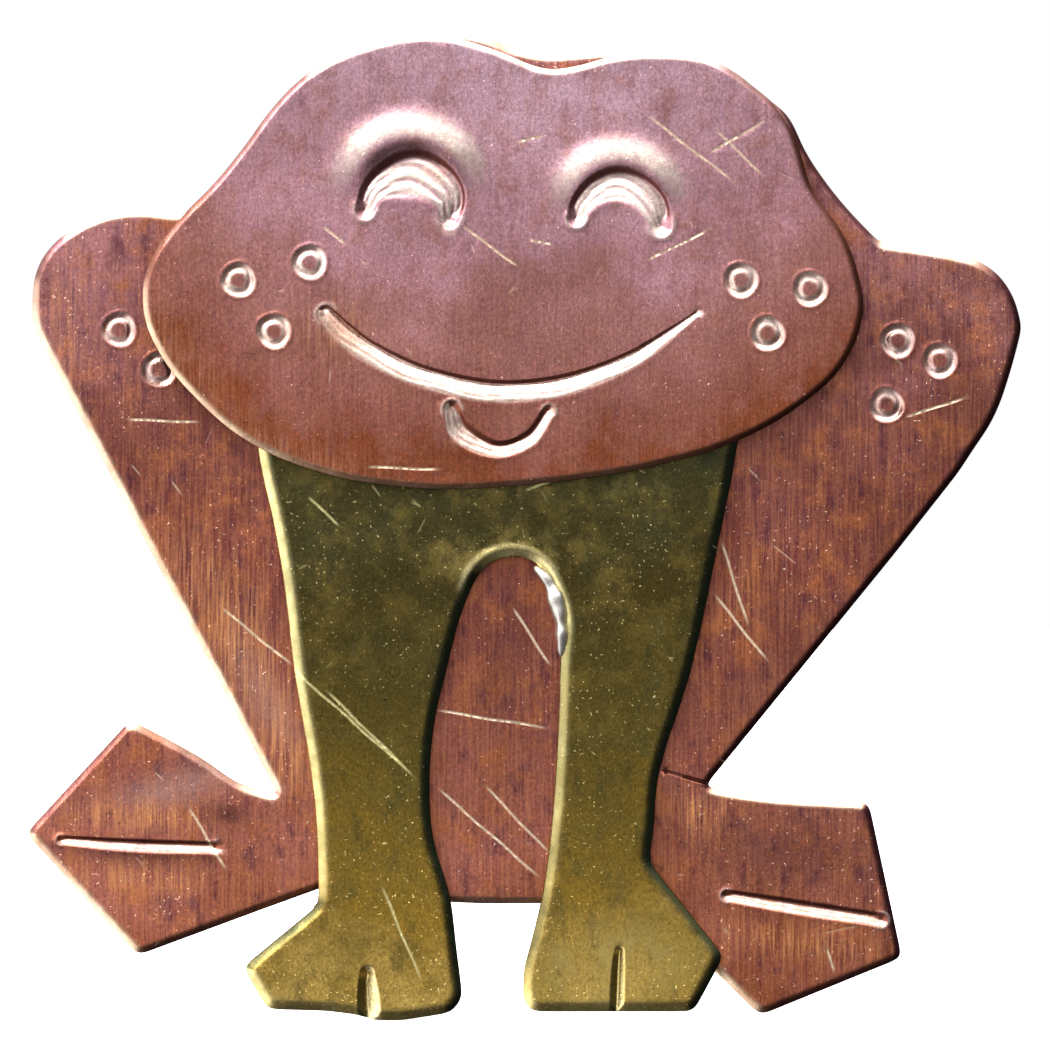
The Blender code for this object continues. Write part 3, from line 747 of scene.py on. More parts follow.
def tarnished(name, tones, low, high, rust, bruise, sheen_tone, worn, pale, dirt_and_shade, rough, seed, grit=0.2, brush=0.2,
              streak_sheen=0.1, fleck=0.1, side=0.0, bow=0.0, streak=2.2, mottle=0.5):
    """Worn sheet metal whose tone changes up the sheet, with tarnish, brushing, specks, scratches and worn
    edges, and with painted light: sheen along the brushing, highlights on edges and marks that face the
    light, and shade on edges and walls that face away.
    """
    paint = Paint(name, rough)
    paint.shader.inputs["Specular Tint"].default_value = (*[0.3 + 0.5 * part for part in worn], 1)
    cloud = paint.noise(4.5, 3.0, shift=seed)
    patch = paint.noise(1.4, 5.0, shift=seed + 7, rough=0.68)
    blotch = paint.noise(0.75, 4.0, stretch=(1, 1, streak), shift=seed + 13, rough=0.6)
    brushed = paint.noise(0.11, 3.0, stretch=(1, 1, 26), shift=seed + 3, rough=0.65)
    grain = paint.noise(0.13, 4.0, stretch=(1, 1, 1.4), shift=seed + 5, rough=0.8)
    warm = paint.attribute("warm")

    # The tone ramp up the sheet. On the head it holds painted light: brown towards the chin and lighter,
    # lilac towards the top, as if lit from above.
    level = paint.remap(paint.axis("Z"), low, high)
    level = paint.math("ADD", level, paint.remap(cloud, 0.25, 0.75, -0.12, 0.12))
    level = paint.math("ADD", level, paint.remap(patch, 0.25, 0.75, -0.08, 0.08))
    off_centre = paint.math("POWER", paint.math("ABSOLUTE", paint.axis("X")), 2.0)
    level = paint.math("SUBTRACT", level, paint.times(off_centre, bow))
    colour = paint.ramp(level, tones)
    colour = paint.mix(paint.remap(patch, 0.48, 0.66, 0.0, mottle), colour, rust)
    colour = paint.mix(paint.remap(blotch, 0.52, 0.68, 0.0, mottle), colour, bruise)
    shade = paint.remap(grain, 0.3, 0.7, 1 - grit, 1 + grit)
    shade = paint.times(shade, paint.remap(brushed, 0.3, 0.7, 1 - brush, 1 + brush))
    shade = paint.times(shade, paint.remap(cloud, 0.3, 0.7, 1 - 0.5 * grit, 1 + 0.5 * grit))
    # Painted light from the side: with side above 0, the sheet is lighter to the left and darker to the
    # right, most where its tone is low.
    reach = math.floor(BACK_HIGH[0])
    side_light = paint.remap(paint.axis("X"), -reach, reach, side, -side)
    painted_side_light = paint.times(side_light, paint.remap(level, 0, 1, 1, 0))
    shade = paint.times(shade, paint.math("ADD", painted_side_light, 1.0))
    colour = paint.shaded(colour, shade)
    # Painted sheen: the sheen tone along the brushed lines (on brass, along the tarnish patches), faint all
    # over and strong inside the sheen patches.
    lines = patch if brush < 0.05 else brushed
    glowing = paint.times(paint.remap(lines, 0.42, 0.66), paint.math("MULTIPLY_ADD", warm, 0.85, streak_sheen))
    colour = paint.mix(glowing, colour, sheen_tone)
    colour = paint.mix(paint.times(paint.flecks(0.5, 0.03, seed + 9), 0.7), colour, dirt_and_shade)
    gathered = paint.remap(cloud, 0.4, 0.62, 0.25, 1.0)
    coarse = paint.flecks(0.4, fleck - 0.06, seed + 4)
    specks = paint.math("MAXIMUM", paint.flecks(0.16, fleck, seed + 2), coarse)
    specks = paint.times(specks, gathered)
    colour = paint.mix(paint.times(specks, 0.75), colour, worn)

    edge = paint.attribute("edge")
    ragged = paint.remap(patch, 0.3, 0.6, 1.0, 0.45)
    lit = paint.attribute("lit")
    # Painted light on the filed edges: edges that face the light get a painted highlight in the worn colour,
    # together with real edge rubbing; edges that face away get painted shade in the grime colour.
    edge_wear_and_highlight = paint.times(paint.times(edge, ragged), paint.remap(lit, 0.2, 0.9))
    unlit = paint.times(edge, paint.remap(lit, 0.15, 0.6, 1.0, 0.0))
    colour = paint.mix(unlit, colour, dirt_and_shade)
    colour = paint.mix(edge_wear_and_highlight, colour, worn)
    # Painted highlight where marks face the light (groove floors, lips, ring glints, brow slopes and pale
    # patches), in the pale colour, tinted by the sheen tone inside the sheen patches.
    floor = paint.attribute("pale")
    broken = paint.remap(paint.noise(0.3, 4.0, shift=seed + 17, rough=0.7), 0.36, 0.58, 1.0, 0.55)
    painted_glint = paint.times(floor, broken)
    bright = paint.mix(paint.times(warm, 0.75), pale, sheen_tone)
    colour = paint.mix(painted_glint, colour, bright)
    # Stains, and painted shade on the steep walls of grooves and beside brows, mixed in with the grime
    # colour.
    colour = paint.mix(paint.times(paint.attribute("dark"), 0.8), colour, dirt_and_shade)
    scratch = paint.attribute("scratch")
    colour = paint.mix(paint.times(scratch, 0.8), colour, worn)

    roughness = paint.remap(grain, 0.3, 0.7, rough - 0.06, rough + 0.08)
    roughness = paint.math("ADD", roughness, paint.remap(blotch, 0.5, 0.74, 0.0, 0.08))
    roughness = paint.math("SUBTRACT", roughness, paint.times(edge_wear_and_highlight, 0.1))
    roughness = paint.math("SUBTRACT", roughness, paint.times(painted_glint, 0.06), clamp=True)
    bumps = [(patch, 0.02), (grain, 0.01), (brushed, 0.028 * brush), (specks, 0.01)]
    return paint.finish(colour, roughness, bumps)


def plain_metal(name, tone, shadow, rough, seed, lumps=0.004):
    """A silvery metal with faint cloudiness, fine scratches and grime."""
    paint = Paint(name, rough)
    cloud = paint.noise(2.2, 4.0, shift=seed)
    fine = paint.noise(0.12, 3.0, shift=seed + 4, rough=0.7)
    scuffed = paint.noise(0.1, 2.0, stretch=(16, 2, 1), shift=seed + 6)
    grime = paint.remap(cloud, 0.5, 0.75)
    colour = paint.mix(grime, tone, shadow)
    shade = paint.times(paint.remap(scuffed, 0.25, 0.75, 0.88, 1.1), paint.remap(fine, 0.2, 0.8, 0.88, 1.1))
    colour = paint.shaded(colour, shade)
    roughness = paint.math("ADD", paint.remap(fine, 0.2, 0.8, rough - 0.05, rough + 0.07),
                           paint.times(grime, 0.15), clamp=True)
    return paint.finish(colour, roughness, [(scuffed, 0.003), (fine, lumps), (cloud, lumps)])


# The head's tones hold painted light, lighter and lilac towards the top as if lit from above; side paints it
# a touch lighter to the left, and bow makes it darker towards its sides.
HEAD_METAL = tarnished(
    "copper_head",
    [(0.0, (0.25, 0.067, 0.031)), (0.06, (0.29, 0.095, 0.068)), (0.38, (0.37, 0.163, 0.158)),
     (0.46, (0.45, 0.225, 0.265)), (1.0, (0.53, 0.325, 0.40))],
    HEAD_LOW[2], HEAD_HIGH[2],
    rust=(0.31, 0.11, 0.055), bruise=(0.18, 0.065, 0.065), sheen_tone=(0.58, 0.28, 0.15), worn=(0.92, 0.70, 0.48),
    pale=(0.90, 0.74, 0.64), dirt_and_shade=(0.085, 0.028, 0.018), rough=0.33, seed=2.0, grit=0.26, brush=0.09,
    streak_sheen=0.08, fleck=0.075, side=0.05, bow=0.0013,
)
# Side paints the back plate lighter to the left and darker to the right, as light from the left would.
BACK_METAL = tarnished(
    "copper_back",
    [(0.0, (0.31, 0.085, 0.04)), (0.2, (0.35, 0.115, 0.085)), (0.36, (0.28, 0.085, 0.065)),
     (0.6, (0.22, 0.062, 0.05)), (0.78, (0.23, 0.075, 0.068)), (1.0, (0.38, 0.16, 0.175))],
    BACK_LOW[2], BACK_HIGH[2] - 8,
    rust=(0.44, 0.14, 0.055), bruise=(0.085, 0.024, 0.045), sheen_tone=(0.84, 0.36, 0.14), worn=(0.95, 0.76, 0.54),
    pale=(0.84, 0.64, 0.58), dirt_and_shade=(0.05, 0.016, 0.02), rough=0.31, seed=11.0, grit=0.34, brush=0.13,
    streak_sheen=0.16, fleck=0.085, side=0.3, streak=1.7, mottle=0.72,
)
BRASS_METAL = tarnished(
    "brass",
    [(0.0, (0.52, 0.35, 0.09)), (0.2, (0.28, 0.17, 0.026)), (0.45, (0.115, 0.082, 0.018)),
     (0.75, (0.062, 0.047, 0.014)), (1.0, (0.066, 0.06, 0.024))],
    LEGS_LOW[2], 4.0,
    rust=(0.17, 0.115, 0.022), bruise=(0.034, 0.038, 0.016), sheen_tone=(0.60, 0.46, 0.15), worn=(0.86, 0.76, 0.36),
    pale=(0.88, 0.76, 0.42), dirt_and_shade=(0.024, 0.034, 0.02), rough=0.3, seed=23.0, grit=0.36, brush=0.04,
    streak_sheen=0.05, fleck=0.105, side=-0.02,
)
SOLDER_METAL = plain_metal("solder", (0.56, 0.53, 0.49), (0.33, 0.30, 0.26), 0.36, 5.0, lumps=0.008)
NICKEL_METAL = plain_metal("nickel", (0.70, 0.68, 0.63), (0.46, 0.43, 0.38), 0.24, 8.0)
STEEL_METAL = plain_metal("steel", (0.62, 0.63, 0.65), (0.40, 0.40, 0.41), 0.2, 15.0)


def dress(piece, material, body, slot, *nodes):
    """Gives a piece its metal and its body, and hides the CAD nodes that it stands for. Its slot is not used.
    """
    piece.data.materials.clear()
    piece.data.materials.append(material)
    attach(piece, body)
    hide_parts(*nodes)


# ---------------------------------------------------------------- the three sheets

def on_sheet(node, *knots):
    """Knots measured from the middle of a sheet's box, as places in the model's frame."""
    centre = middle(node)
    return [(x + centre[0], z + centre[2], *rest) for x, z, *rest in knots]


def patches(node, *rows):
    """Patches from (key, (x, z), (half length, half width), strength, turn) rows."""
    return [Patch(key, *on_sheet(node, spot), *rest) for key, spot, *rest in rows]


def scratched(node, *ends):
    """Scratches between pairs of places on a sheet."""
    places = on_sheet(node, *ends)
    return [Scratch(start, end) for start, end in zip(places[::2], places[1::2])]


def ringed(node, turn, *spots):
    """Ring punches, each tilted by a turn more than the one before."""
    return [Ring(spot, turn * number) for number, spot in enumerate(on_sheet(node, *spots), 1)]


def sheet_loop(node, step=0.13):
    """A sheet's outline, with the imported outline's facets and corners eased."""
    return eased(evenly(cut_outline(node), step), step, 0.3)


def make_head():
    node = "head_plate"
    eyes = on_sheet(node, (-4.2, 3.0), (5.2, 2.3))
    left_eye = on_sheet(
        node, (-6.2, 2.35, 0.42), (-5.9, 3.15, 0.55), (-5.2, 3.7, 0.8), (-4.05, 4.0, 1.1), (-3.0, 3.65, 0.95),
        (-2.45, 2.95, 0.75), (-2.4, 1.95, 0.45),
    )
    right_eye = on_sheet(
        node, (3.3, 2.0, 0.4), (3.55, 2.65, 0.52), (4.25, 3.3, 0.65), (5.15, 3.55, 0.76), (6.1, 3.25, 0.75),
        (6.75, 2.6, 0.68), (7.1, 1.65, 0.48),
    )
    smile = on_sheet(
        node, (-7.95, -2.35, 0.42), (-7.2, -3.15, 0.52), (-5.9, -4.1, 0.52), (-3.4, -5.2, 0.5),
        (-0.3, -5.8, 0.5), (2.8, -5.5, 0.48), (5.9, -4.3, 0.38), (8.75, -2.3, 0.12),
    )
    lip = on_sheet(
        node, (-2.3, -6.6, 0.38), (-1.85, -7.65, 0.52), (-0.3, -8.4, 0.38), (1.2, -7.9, 0.34),
        (2.05, -6.7, 0.28),
    )
    marks = [
        Brow(eyes[0], rise=0.25),
        Brow(eyes[1], rise=0.22, crest=2.2, foot=3.9),
        Groove(left_eye, depth=0.36, lean=0.42, lip=0.08, crinkle=0.03, bow=1.1, furrow=0.8, lean_end=0.9),
        Groove(right_eye, depth=0.30, lean=0.5, lip=0.07, crinkle=0.02, furrow=0.5, lean_end=0.8),
        Groove(smile, depth=0.28, lean=0.8, lip=0.02, crinkle=0.008, pale=0.95, bow=1.7, furrow=0.45,
               lean_end=0.65, pinch=0.1),
        Groove(lip, depth=0.22, lean=0.6, lip=0.05, crinkle=0.01, pale=0.85, bow=1.2, furrow=0.5,
               lean_end=0.3, pinch=0.4),
    ]
    marks += ringed(node, 0.9, (-11.9, -0.8), (-8.7, 0.0), (-10.3, -3.1), (10.7, -0.8), (13.8, -1.2),
                    (11.9, -3.2))
    marks += scratched(
        node, (6.5, 6.6), (10.4, 3.6), (9.3, 4.9), (11.8, 6.4), (9.6, 5.9), (11.7, 3.9), (6.5, 0.1),
        (9.3, 1.5), (-1.8, 1.6), (0.7, -0.2), (-8.1, 1.6), (-7.1, 0.8), (-6.1, -9.2), (-2.8, -9.3),
        (1.2, 1.0), (2.2, 0.8), (0.6, 5.4), (1.9, 5.7),
    )
    marks += nicks(node, 24, 3, 0.7)
    # Patches: painted sheen, and stains with painted shade.
    marks += patches(
        node,
        ("warm", (-7.3, -3.1), (1.8, 1.2), 0.8),
        ("warm", (-14.2, -4.6), (0.9, 3.4), 0.45, 35),
        ("warm", (-9.5, -8.6), (4.0, 0.8), 0.4, -18),
        ("dark", (-4.3, 1.1), (1.7, 0.9), 0.22),
        ("dark", (-11.4, -4.15), (0.42, 0.2), 0.7, 15),
        ("warm", (12.6, 7.4), (0.6, 3.0), 0.5, 35),
        ("warm", (-3.3, 4.0), (1.3, 0.35), 0.7),
    )
    rear = -HEAD_HIGH[1]
    piece = make_sheet("frog_head", [sheet_loop(node)], rear + SHEET - HEAD_THINNER, rear, facing, edge=0.28,
                       fall=0.16, step=0.26, marks=marks, seed=2.0, tool=0.012)
    dress(piece, HEAD_METAL, "plaque", "copper_head", node)


def make_back():
    node = "back_plate"
    left_line = on_sheet(node, (-20.85, -14.25, 0.2), (-17.5, -14.5, 0.28), (-13.9, -14.6, 0.26))
    right_line = on_sheet(node, (9.15, -16.75, 0.26), (12.5, -17.3, 0.32), (16.1, -17.85, 0.3))
    overcut = on_sheet(node, (8.5, -11.75, 0.1), (6.35, -11.15, 0.08))
    marks = [Groove(line, depth=0.2, lean=0.5, lip=0.04, pale=0.7, bow=0.8, furrow=0.7)
             for line in (left_line, right_line)]
    marks.append(Groove(overcut, depth=0.3, pale=0.2))
    marks += ringed(node, 1.3, (-18.25, 8.75), (16.85, 8.25), (18.75, 7.35), (16.35, 5.35), (-16.45, 6.95))
    marks += scratched(
        node, (-13.6, -3.8), (-10.4, -6.4), (17.2, 4.8), (19.9, 5.7), (13.65, -19.15), (13.95, -20.15),
        (-3.9, -8.4), (1.1, -9.2), (-3.9, -11.9), (0.8, -16.0), (-1.75, -11.8), (1.2, -14.9), (-0.5, -3.8),
        (1.2, -6.4), (-17.9, 4.7), (-14.6, 4.6), (8.6, -3.2), (11.0, -6.2), (8.9, -0.8), (10.1, -4.6),
        (-15.1, -12.8), (-13.4, -15.6),
    )
    marks += nicks(node, 60, 7, 1.8)
    # Patches: painted sheen, painted highlights, and stains with painted shade, such as the band along the
    # left toe line.
    marks += patches(
        node,
        ("warm", (-13.0, -5.3), (1.7, 5.2), 0.8, 27),
        ("warm", (-17.4, -13.2), (3.0, 0.55), 1.0, -2),
        ("warm", (-17.4, -15.9), (3.2, 0.8), 0.8, -2),
        ("dark", (-17.4, -14.95), (3.4, 0.5), 0.7, -2),
        ("dark", (-13.4, -13.1), (0.8, 0.48), 1.0),
        ("dark", (-0.9, -5.8), (1.6, 4.2), 0.36),
        ("dark", (12.1, -14.9), (3.4, 1.3), 0.55, -8),
        ("warm", (12.6, -18.9), (3.6, 0.7), 0.6, -8),
        ("warm", (10.3, -2.2), (0.7, 3.2), 0.3, -35),
        ("warm", (-20.6, 9.2), (0.8, 2.4), 0.4),
        ("warm", (-11.0, -10.4), (1.0, 2.0), 1.0, 25),
        ("warm", (7.9, -12.9), (1.2, 0.8), 0.9, -20),
        ("pale", (-15.9, -12.0), (2.9, 0.75), 0.28, 15),
        ("pale", (-11.9, -7.4), (0.8, 3.2), 0.34, 27),
    )
    rear = -BACK_HIGH[1]
    piece = make_sheet("frog_back", [sheet_loop(node)], rear + SHEET, rear, facing, edge=0.32, fall=0.18,
                       step=0.34, marks=marks, seed=5.0, tool=0.012)
    dress(piece, BACK_METAL, "plaque", "copper_back", node)


def make_legs():
    node = "front_legs_plate"
    left_notch = on_sheet(node, (-5.8, -18.6, 0.55), (-5.9, -16.9, 0.5), (-5.95, -15.8, 0.34))
    right_notch = on_sheet(node, (5.25, -18.4, 0.34), (5.35, -15.8, 0.3), (5.4, -14.8, 0.22))
    marks = [Groove(left_notch, depth=0.42, lean=0.15), Groove(right_notch, depth=0.3, lean=0.1)]
    marks += scratched(node, (-9.9, -1.6), (-3.9, -6.9), (-7.8, -3.1), (-3.8, -7.0), (-5.3, -11.9),
                       (-3.5, -16.2), (-8.6, 5.6), (-7.2, 4.3), (1.2, 5.9), (2.6, 6.4))
    marks += nicks(node, 40, 5, 0.7)
    arch_middle = on_sheet(node, (0.5, 1.05))[0]
    # A low ridge across the top of the arch, with a painted highlight along its far slope.
    marks.append(Brow(arch_middle, rise=0.07, crest=2.1, foot=2.65, glow=0.8, shade=0.0))
    # Patches: painted sheen, and stains with painted shade.
    marks += patches(
        node,
        ("dark", (9.4, 7.4), (0.5, 0.9), 0.8),
        ("warm", (5.0, -15.6), (3.4, 1.9), 0.95),
        ("dark", (5.0, -8.5), (1.6, 3.0), 0.25),
        ("warm", (0.6, 6.2), (7.0, 0.5), 0.35),
        ("dark", (-3.6, -0.6), (3.2, 3.0), 0.2),
        ("warm", (0.2, 3.0), (2.3, 0.8), 0.9),
    )
    rear = -LEGS_HIGH[1]
    piece = make_sheet("frog_front_legs", [sheet_loop(node)], rear + SHEET, rear, facing, edge=0.46,
                       fall=0.26, step=0.32, marks=marks, seed=8.0, tool=0.015)
    dress(piece, BRASS_METAL, "plaque", "brass", node)


# ---------------------------------------------------------------- solder

def inset_loop(loop, distance):
    """A loop moved into the metal, without the parts that cross over at corners."""
    moved = loop + distance * inward(loop)
    return moved[Rim([loop]).depth(moved) > distance - 0.03]


def lumpy_bead(name, knots, middle_y, flatness, seed):
    """A run of solder: a flattened tube of uneven thickness with round ends, through (x, z, radius) knots."""
    path = curve_through(knots, 0.06)
    along = np.gradient(path[:, :2], axis=0)
    along /= np.linalg.norm(along, axis=1)[:, None]
    travelled = np.arange(len(path)) / (len(path) - 1)
    taper = np.sqrt(np.clip(1 - (2 * travelled - 1) ** 12, 0, 1))
    around = np.linspace(0, TURN, 20, endpoint=False)
    rows = []
    for number, (x, z, radius) in enumerate(path):
        swell = 1 + 0.14 * math.sin(number * 0.21 + seed) + 0.06 * math.sin(number * 0.43 + 2 * seed)
        size = max(radius * swell * taper[number], 0.002) * (1 + 0.06 * np.sin(3 * around + number * 0.12))
        side = size * np.cos(around)
        out = middle_y + flatness * size * np.sin(around)
        rows.append(np.column_stack([x - side * along[number, 1], out, z + side * along[number, 0]]))
    return tube_mesh(name, rows)


def tube_mesh(name, rows, ring=False):
    """A tube from loops of points. Its ends are filled, or they meet if it is a ring."""
    sides, count = len(rows[0]), len(rows)
    faces = []
    for row in range(count if ring else count - 1):
        here, after = row * sides, (row + 1) % count * sides
        for side in range(sides):
            turn = (side + 1) % sides
            faces.append((here + side, here + turn, after + turn, after + side))
    if not ring:
        faces.append(tuple(range(sides))[::-1])
        faces.append(tuple(range((count - 1) * sides, count * sides)))
    mesh = bpy.data.meshes.new(name)
    mesh.from_pydata((np.vstack(rows) * MM).tolist(), [], faces)
    form = bmesh.new()
    form.from_mesh(mesh)
    bmesh.ops.recalc_face_normals(form, faces=form.faces)
    return add_form(mesh, form)


SOLDER_END = LEGS_LOW[2] + 4.9      # just below the back plate's lower edge
SOLDER_INSET = 0.7                  # from the edge of the brass
BEAD_OUT = 0.76                     # from the back plate's face to the middle of the bead
DROP_OUT = 0.25


def make_solder():
    node = "front_legs_plate"
    loop = inset_loop(sheet_loop(node), SOLDER_INSET)
    loop = evenly(loop[loop[:, 1] > SOLDER_END], 0.2)
    loop = eased(loop, 0.2, 0.2) + 0.12 * ripple(loop, 1.7, 6.0)[:, None] * inward(loop)
    front, rear = -LEGS_HIGH[1] - 0.03, -BACK_LOW[1] + 0.02
    film = make_sheet("solder_film", [loop], front, rear, facing, edge=0.05, fall=0.02, step=1.4, wave=0,
                      rear_wave=0, rear_edge=0.05)
    run = on_sheet(node, (1.55, 2.5, 0.16), (2.2, 1.8, 0.3), (2.65, 0.6, 0.34), (2.8, -0.6, 0.28),
                   (2.78, -1.6, 0.16))
    ankle = on_sheet(node, (-8.25, -12.7, 0.12), (-8.2, -13.0, 0.2), (-8.3, -13.35, 0.14))
    bead = lumpy_bead("solder_bead", run, BACK_LOW[1] - BEAD_OUT, flatness=1.2, seed=1.0)
    drop = lumpy_bead("solder_ankle_drop", ankle, BACK_LOW[1] - DROP_OUT, flatness=1.0, seed=2.0)
    for piece in (film, bead, drop):
        dress(piece, SOLDER_METAL, "plaque", "solder", "solder_legs")


# ---------------------------------------------------------------- the pin behind

BAR_LOW, BAR_HIGH = box("pin_bar")
BAR_THICK = 0.7
BAR_LEVEL = (BAR_LOW[2] + BAR_HIGH[2]) / 2
BAR_HALF = (BAR_HIGH[2] - BAR_LOW[2]) / 2
HOLE_RADIUS = 0.9
HOLE_PITCH = 6.0
JOINTS = {joint["name"]: np.array(joint["pos_m"]) / MM for joint in frame["joints"]}
HINGE = JOINTS["pin_swing"]
CATCH = JOINTS["catch_turn"]
EAR_GAP = 2.6
EAR_THICK = 0.6
EAR_HALF = 1.45
CHEEK_THICK = 0.7
CHEEK_HALF = 2.3
CHEEK_HOLE = 1.36
MOUTH_HALF = 0.8                    # the stem's way into the catch
RIVET_RADIUS = 0.46
RIVET_HEAD = 0.35
RIVET_HEAD_RADIUS = 0.84
WIRE_RADIUS = 0.45
WIRE_START = 0.85
POINT_LENGTH = 3.4
EYE_RADIUS = 1.25
EYE_PLAY = 0.17                     # between the stem's eye and each ear
BORE_PLAY = 0.06
HUB_HALF = 0.41                     # the roller's narrow middle, which runs in the catch
HUB_RADIUS = 1.3
FLANGE = 0.55
ROLLER_RADIUS = 1.95
ROLLER_BORE = 0.6
SLOT_HALF = 0.57
TAB_HALF = 0.45
TAB_ROOT = 1.2                      # below the roller's axis, inside its flange
CUT_OVER = 1                        # how far a cutting shape reaches past what it cuts
SOLDER_SPILL = 0.22
UPRIGHT = {"edge": 0.1, "fall": 0.08, "step": 0.4, "wave": 0.004, "rear_wave": 0.002, "rear_edge": 0.1}


def backing(spots, height):
    """Stands a sheet up behind the frog: height grows towards +Y."""
    return np.column_stack([-spots[:, 0], height, spots[:, 1]])


def flat(spots, height):
    """Lays a sheet level: its spots are (x, y), and height grows towards +Z."""
    return np.column_stack([spots, height])


def upright(spots, height):
    """Stands a sheet across the pin: its spots are (y, z), and height grows towards +X."""
    return np.column_stack([height, spots])


def soft_loop(parts, step=0.09, reach=0.06):
    return eased(evenly(np.vstack(parts), step), step, reach)


def stadium(half_length, half_width, level):
    reach = half_length - half_width
    right = arc((reach, level), half_width, -90, 90, 40)
    left = arc((-reach, level), half_width, 90, 270, 40)
    return soft_loop([right, left])


def turned(name, profile, place, sides=72, ring=False):
    """A turned shape from (radius, along) points. A ring's profile closes on itself."""
    around = np.linspace(0, TURN, sides, endpoint=False)
    rows = [place(radius * np.cos(around), radius * np.sin(around), along) for radius, along in profile]
    return tube_mesh(name, rows, ring)


def mirrored(profile):
    """A profile and its mirror image along the axis."""
    return profile + [(radius, -along) for radius, along in reversed(profile)]


def rounded(radius, along, soft, angles):
    """Profile points around a corner at (radius, along), with a soft radius."""
    return [(radius - soft + soft * math.cos(angle), along - soft + soft * math.sin(angle))
            for angle in angles]


def about_z(centre):
    """Places a turned shape's points around an upright axis."""
    def place(a, b, along):
        return np.column_stack([centre[0] + a, centre[1] + b, np.full(len(a), centre[2] + along)])
    return place


def about_x(centre):
    """Places a turned shape's points around an axis along the pin."""
    def place(a, b, along):
        return np.column_stack([np.full(len(a), centre[0] + along), centre[1] + a, centre[2] + b])
    return place


def rounded_box(name, low, high, soft=0.0):
    mesh = bpy.data.meshes.new(name)
    form = bmesh.new()
    bmesh.ops.create_cube(form, size=1)
    low, high = np.array(low), np.array(high)
    for vertex in form.verts:
        vertex.co = (low + (high - low) * (np.array(vertex.co) + 0.5)) * MM
    if soft:
        bmesh.ops.bevel(form, geom=form.edges[:], offset=soft * MM, segments=3, profile=0.5, affect="EDGES",
                        clamp_overlap=True)
    return add_form(mesh, form)


def joined(piece, helpers, operation, soften=0.0):
    """The piece with the helpers joined to it or cut from it, and its new edges softened."""
    for helper in helpers:
        step = piece.modifiers.new(helper.name, "BOOLEAN")
        step.operation = operation
        step.solver = "EXACT"
        step.object = helper
    if soften:
        bevel = piece.modifiers.new("soften", "BEVEL")
        bevel.width = soften * MM
        bevel.segments = 2
        bevel.limit_method = "ANGLE"
        bevel.angle_limit = math.radians(38)
    bpy.context.view_layer.update()
    graph = bpy.context.evaluated_depsgraph_get()
    mesh = bpy.data.meshes.new_from_object(piece.evaluated_get(graph))
    piece.modifiers.clear()
    piece.data = mesh
    for helper in helpers:
        bpy.data.objects.remove(helper, do_unlink=True)
    mesh.shade_smooth()
    mesh.set_sharp_from_angle(angle=math.radians(45))
    return piece


def make_ear(name, side):
    """One of the two ears that hold the rivet, above or below the stem's eye."""
    root = BAR_LOW[1] + 0.5 * BAR_THICK
    foot = [(HINGE[0] - EAR_HALF, root), (HINGE[0] + EAR_HALF, root)]
    tab = soft_loop([foot, arc(HINGE[:2], EAR_HALF, 0, 180, 40)])
    bore = soft_loop([arc(HINGE[:2], RIVET_RADIUS + 0.02, 360, 10, 36)], 0.06, 0.02)
    near, far = sorted(HINGE[2] + side * (EAR_GAP / 2 + share * EAR_THICK) for share in (0, 1))
    return make_sheet(name, [tab, bore], far, near, flat, **UPRIGHT)


def make_cheek():
    """The plate that holds the roller, with a mouth for the stem on its far side."""
    root = BAR_LOW[1] + 0.5 * BAR_THICK
    centre = CATCH[1:]
    mouth_out = math.degrees(math.asin(MOUTH_HALF / CHEEK_HALF))
    mouth_in = math.degrees(math.asin(MOUTH_HALF / CHEEK_HOLE))
    outline = soft_loop([
        [(root, centre[1] - CHEEK_HALF)],
        arc(centre, CHEEK_HALF, -90, -mouth_out, 24),
        arc(centre, CHEEK_HOLE, -mouth_in, mouth_in - 360, 60),
        arc(centre, CHEEK_HALF, mouth_out, 90, 24),
        [(root, centre[1] + CHEEK_HALF)],
    ])
    rear, front = (CATCH[0] + side * CHEEK_THICK / 2 for side in (-1, 1))
    return make_sheet("catch_cheek", [outline], front, rear, upright, **UPRIGHT)


def make_pin_bar():
    outer = stadium(BAR_HIGH[0], BAR_HALF, BAR_LEVEL)
    holes = [soft_loop([arc((step * HOLE_PITCH, BAR_LEVEL), HOLE_RADIUS, 360, 8, 45)]) for step in (-1, 0, 1)]
    bar = make_sheet("pin_bar_strip", [outer, *holes], BAR_LOW[1] + BAR_THICK, BAR_LOW[1], backing,
                     edge=0.12, fall=0.1, step=0.5, wave=0.006, rear_wave=0, rear_edge=0.1)
    joined(bar, [make_ear("lower_ear", -1), make_ear("upper_ear", 1), make_cheek()], "UNION")
    dress(bar, NICKEL_METAL, "plaque", "nickel", "pin_bar")


def make_rivet():
    shank = EAR_GAP / 2 + EAR_THICK
    upper = [(RIVET_HEAD_RADIUS * math.sin(angle), shank + RIVET_HEAD * math.cos(angle))
             for angle in np.linspace(0.02, 1.5, 9)]
    upper += [(RIVET_HEAD_RADIUS, shank + 0.01), (RIVET_RADIUS, shank + 0.01)]
    rivet = turned("hinge_rivet_pin", mirrored(upper), about_z(HINGE), sides=48)
    dress(rivet, STEEL_METAL, "plaque", "steel", "hinge_rivet")


def make_bar_solder():
    outline = stadium(BAR_HIGH[0] + SOLDER_SPILL, BAR_HALF + SOLDER_SPILL, BAR_LEVEL)
    outline = outline + 0.09 * ripple(outline, 2.2, 3.0)[:, None] * inward(outline)
    film = make_sheet("bar_solder", [outline], BAR_LOW[1] - 0.01, 0.02, backing, edge=0.3, fall=0.08,
                      step=0.8, wave=0.006, wave_size=2.0, rear_wave=0, rear_edge=0.05)
    dress(film, SOLDER_METAL, "plaque", "solder", "solder_bar")


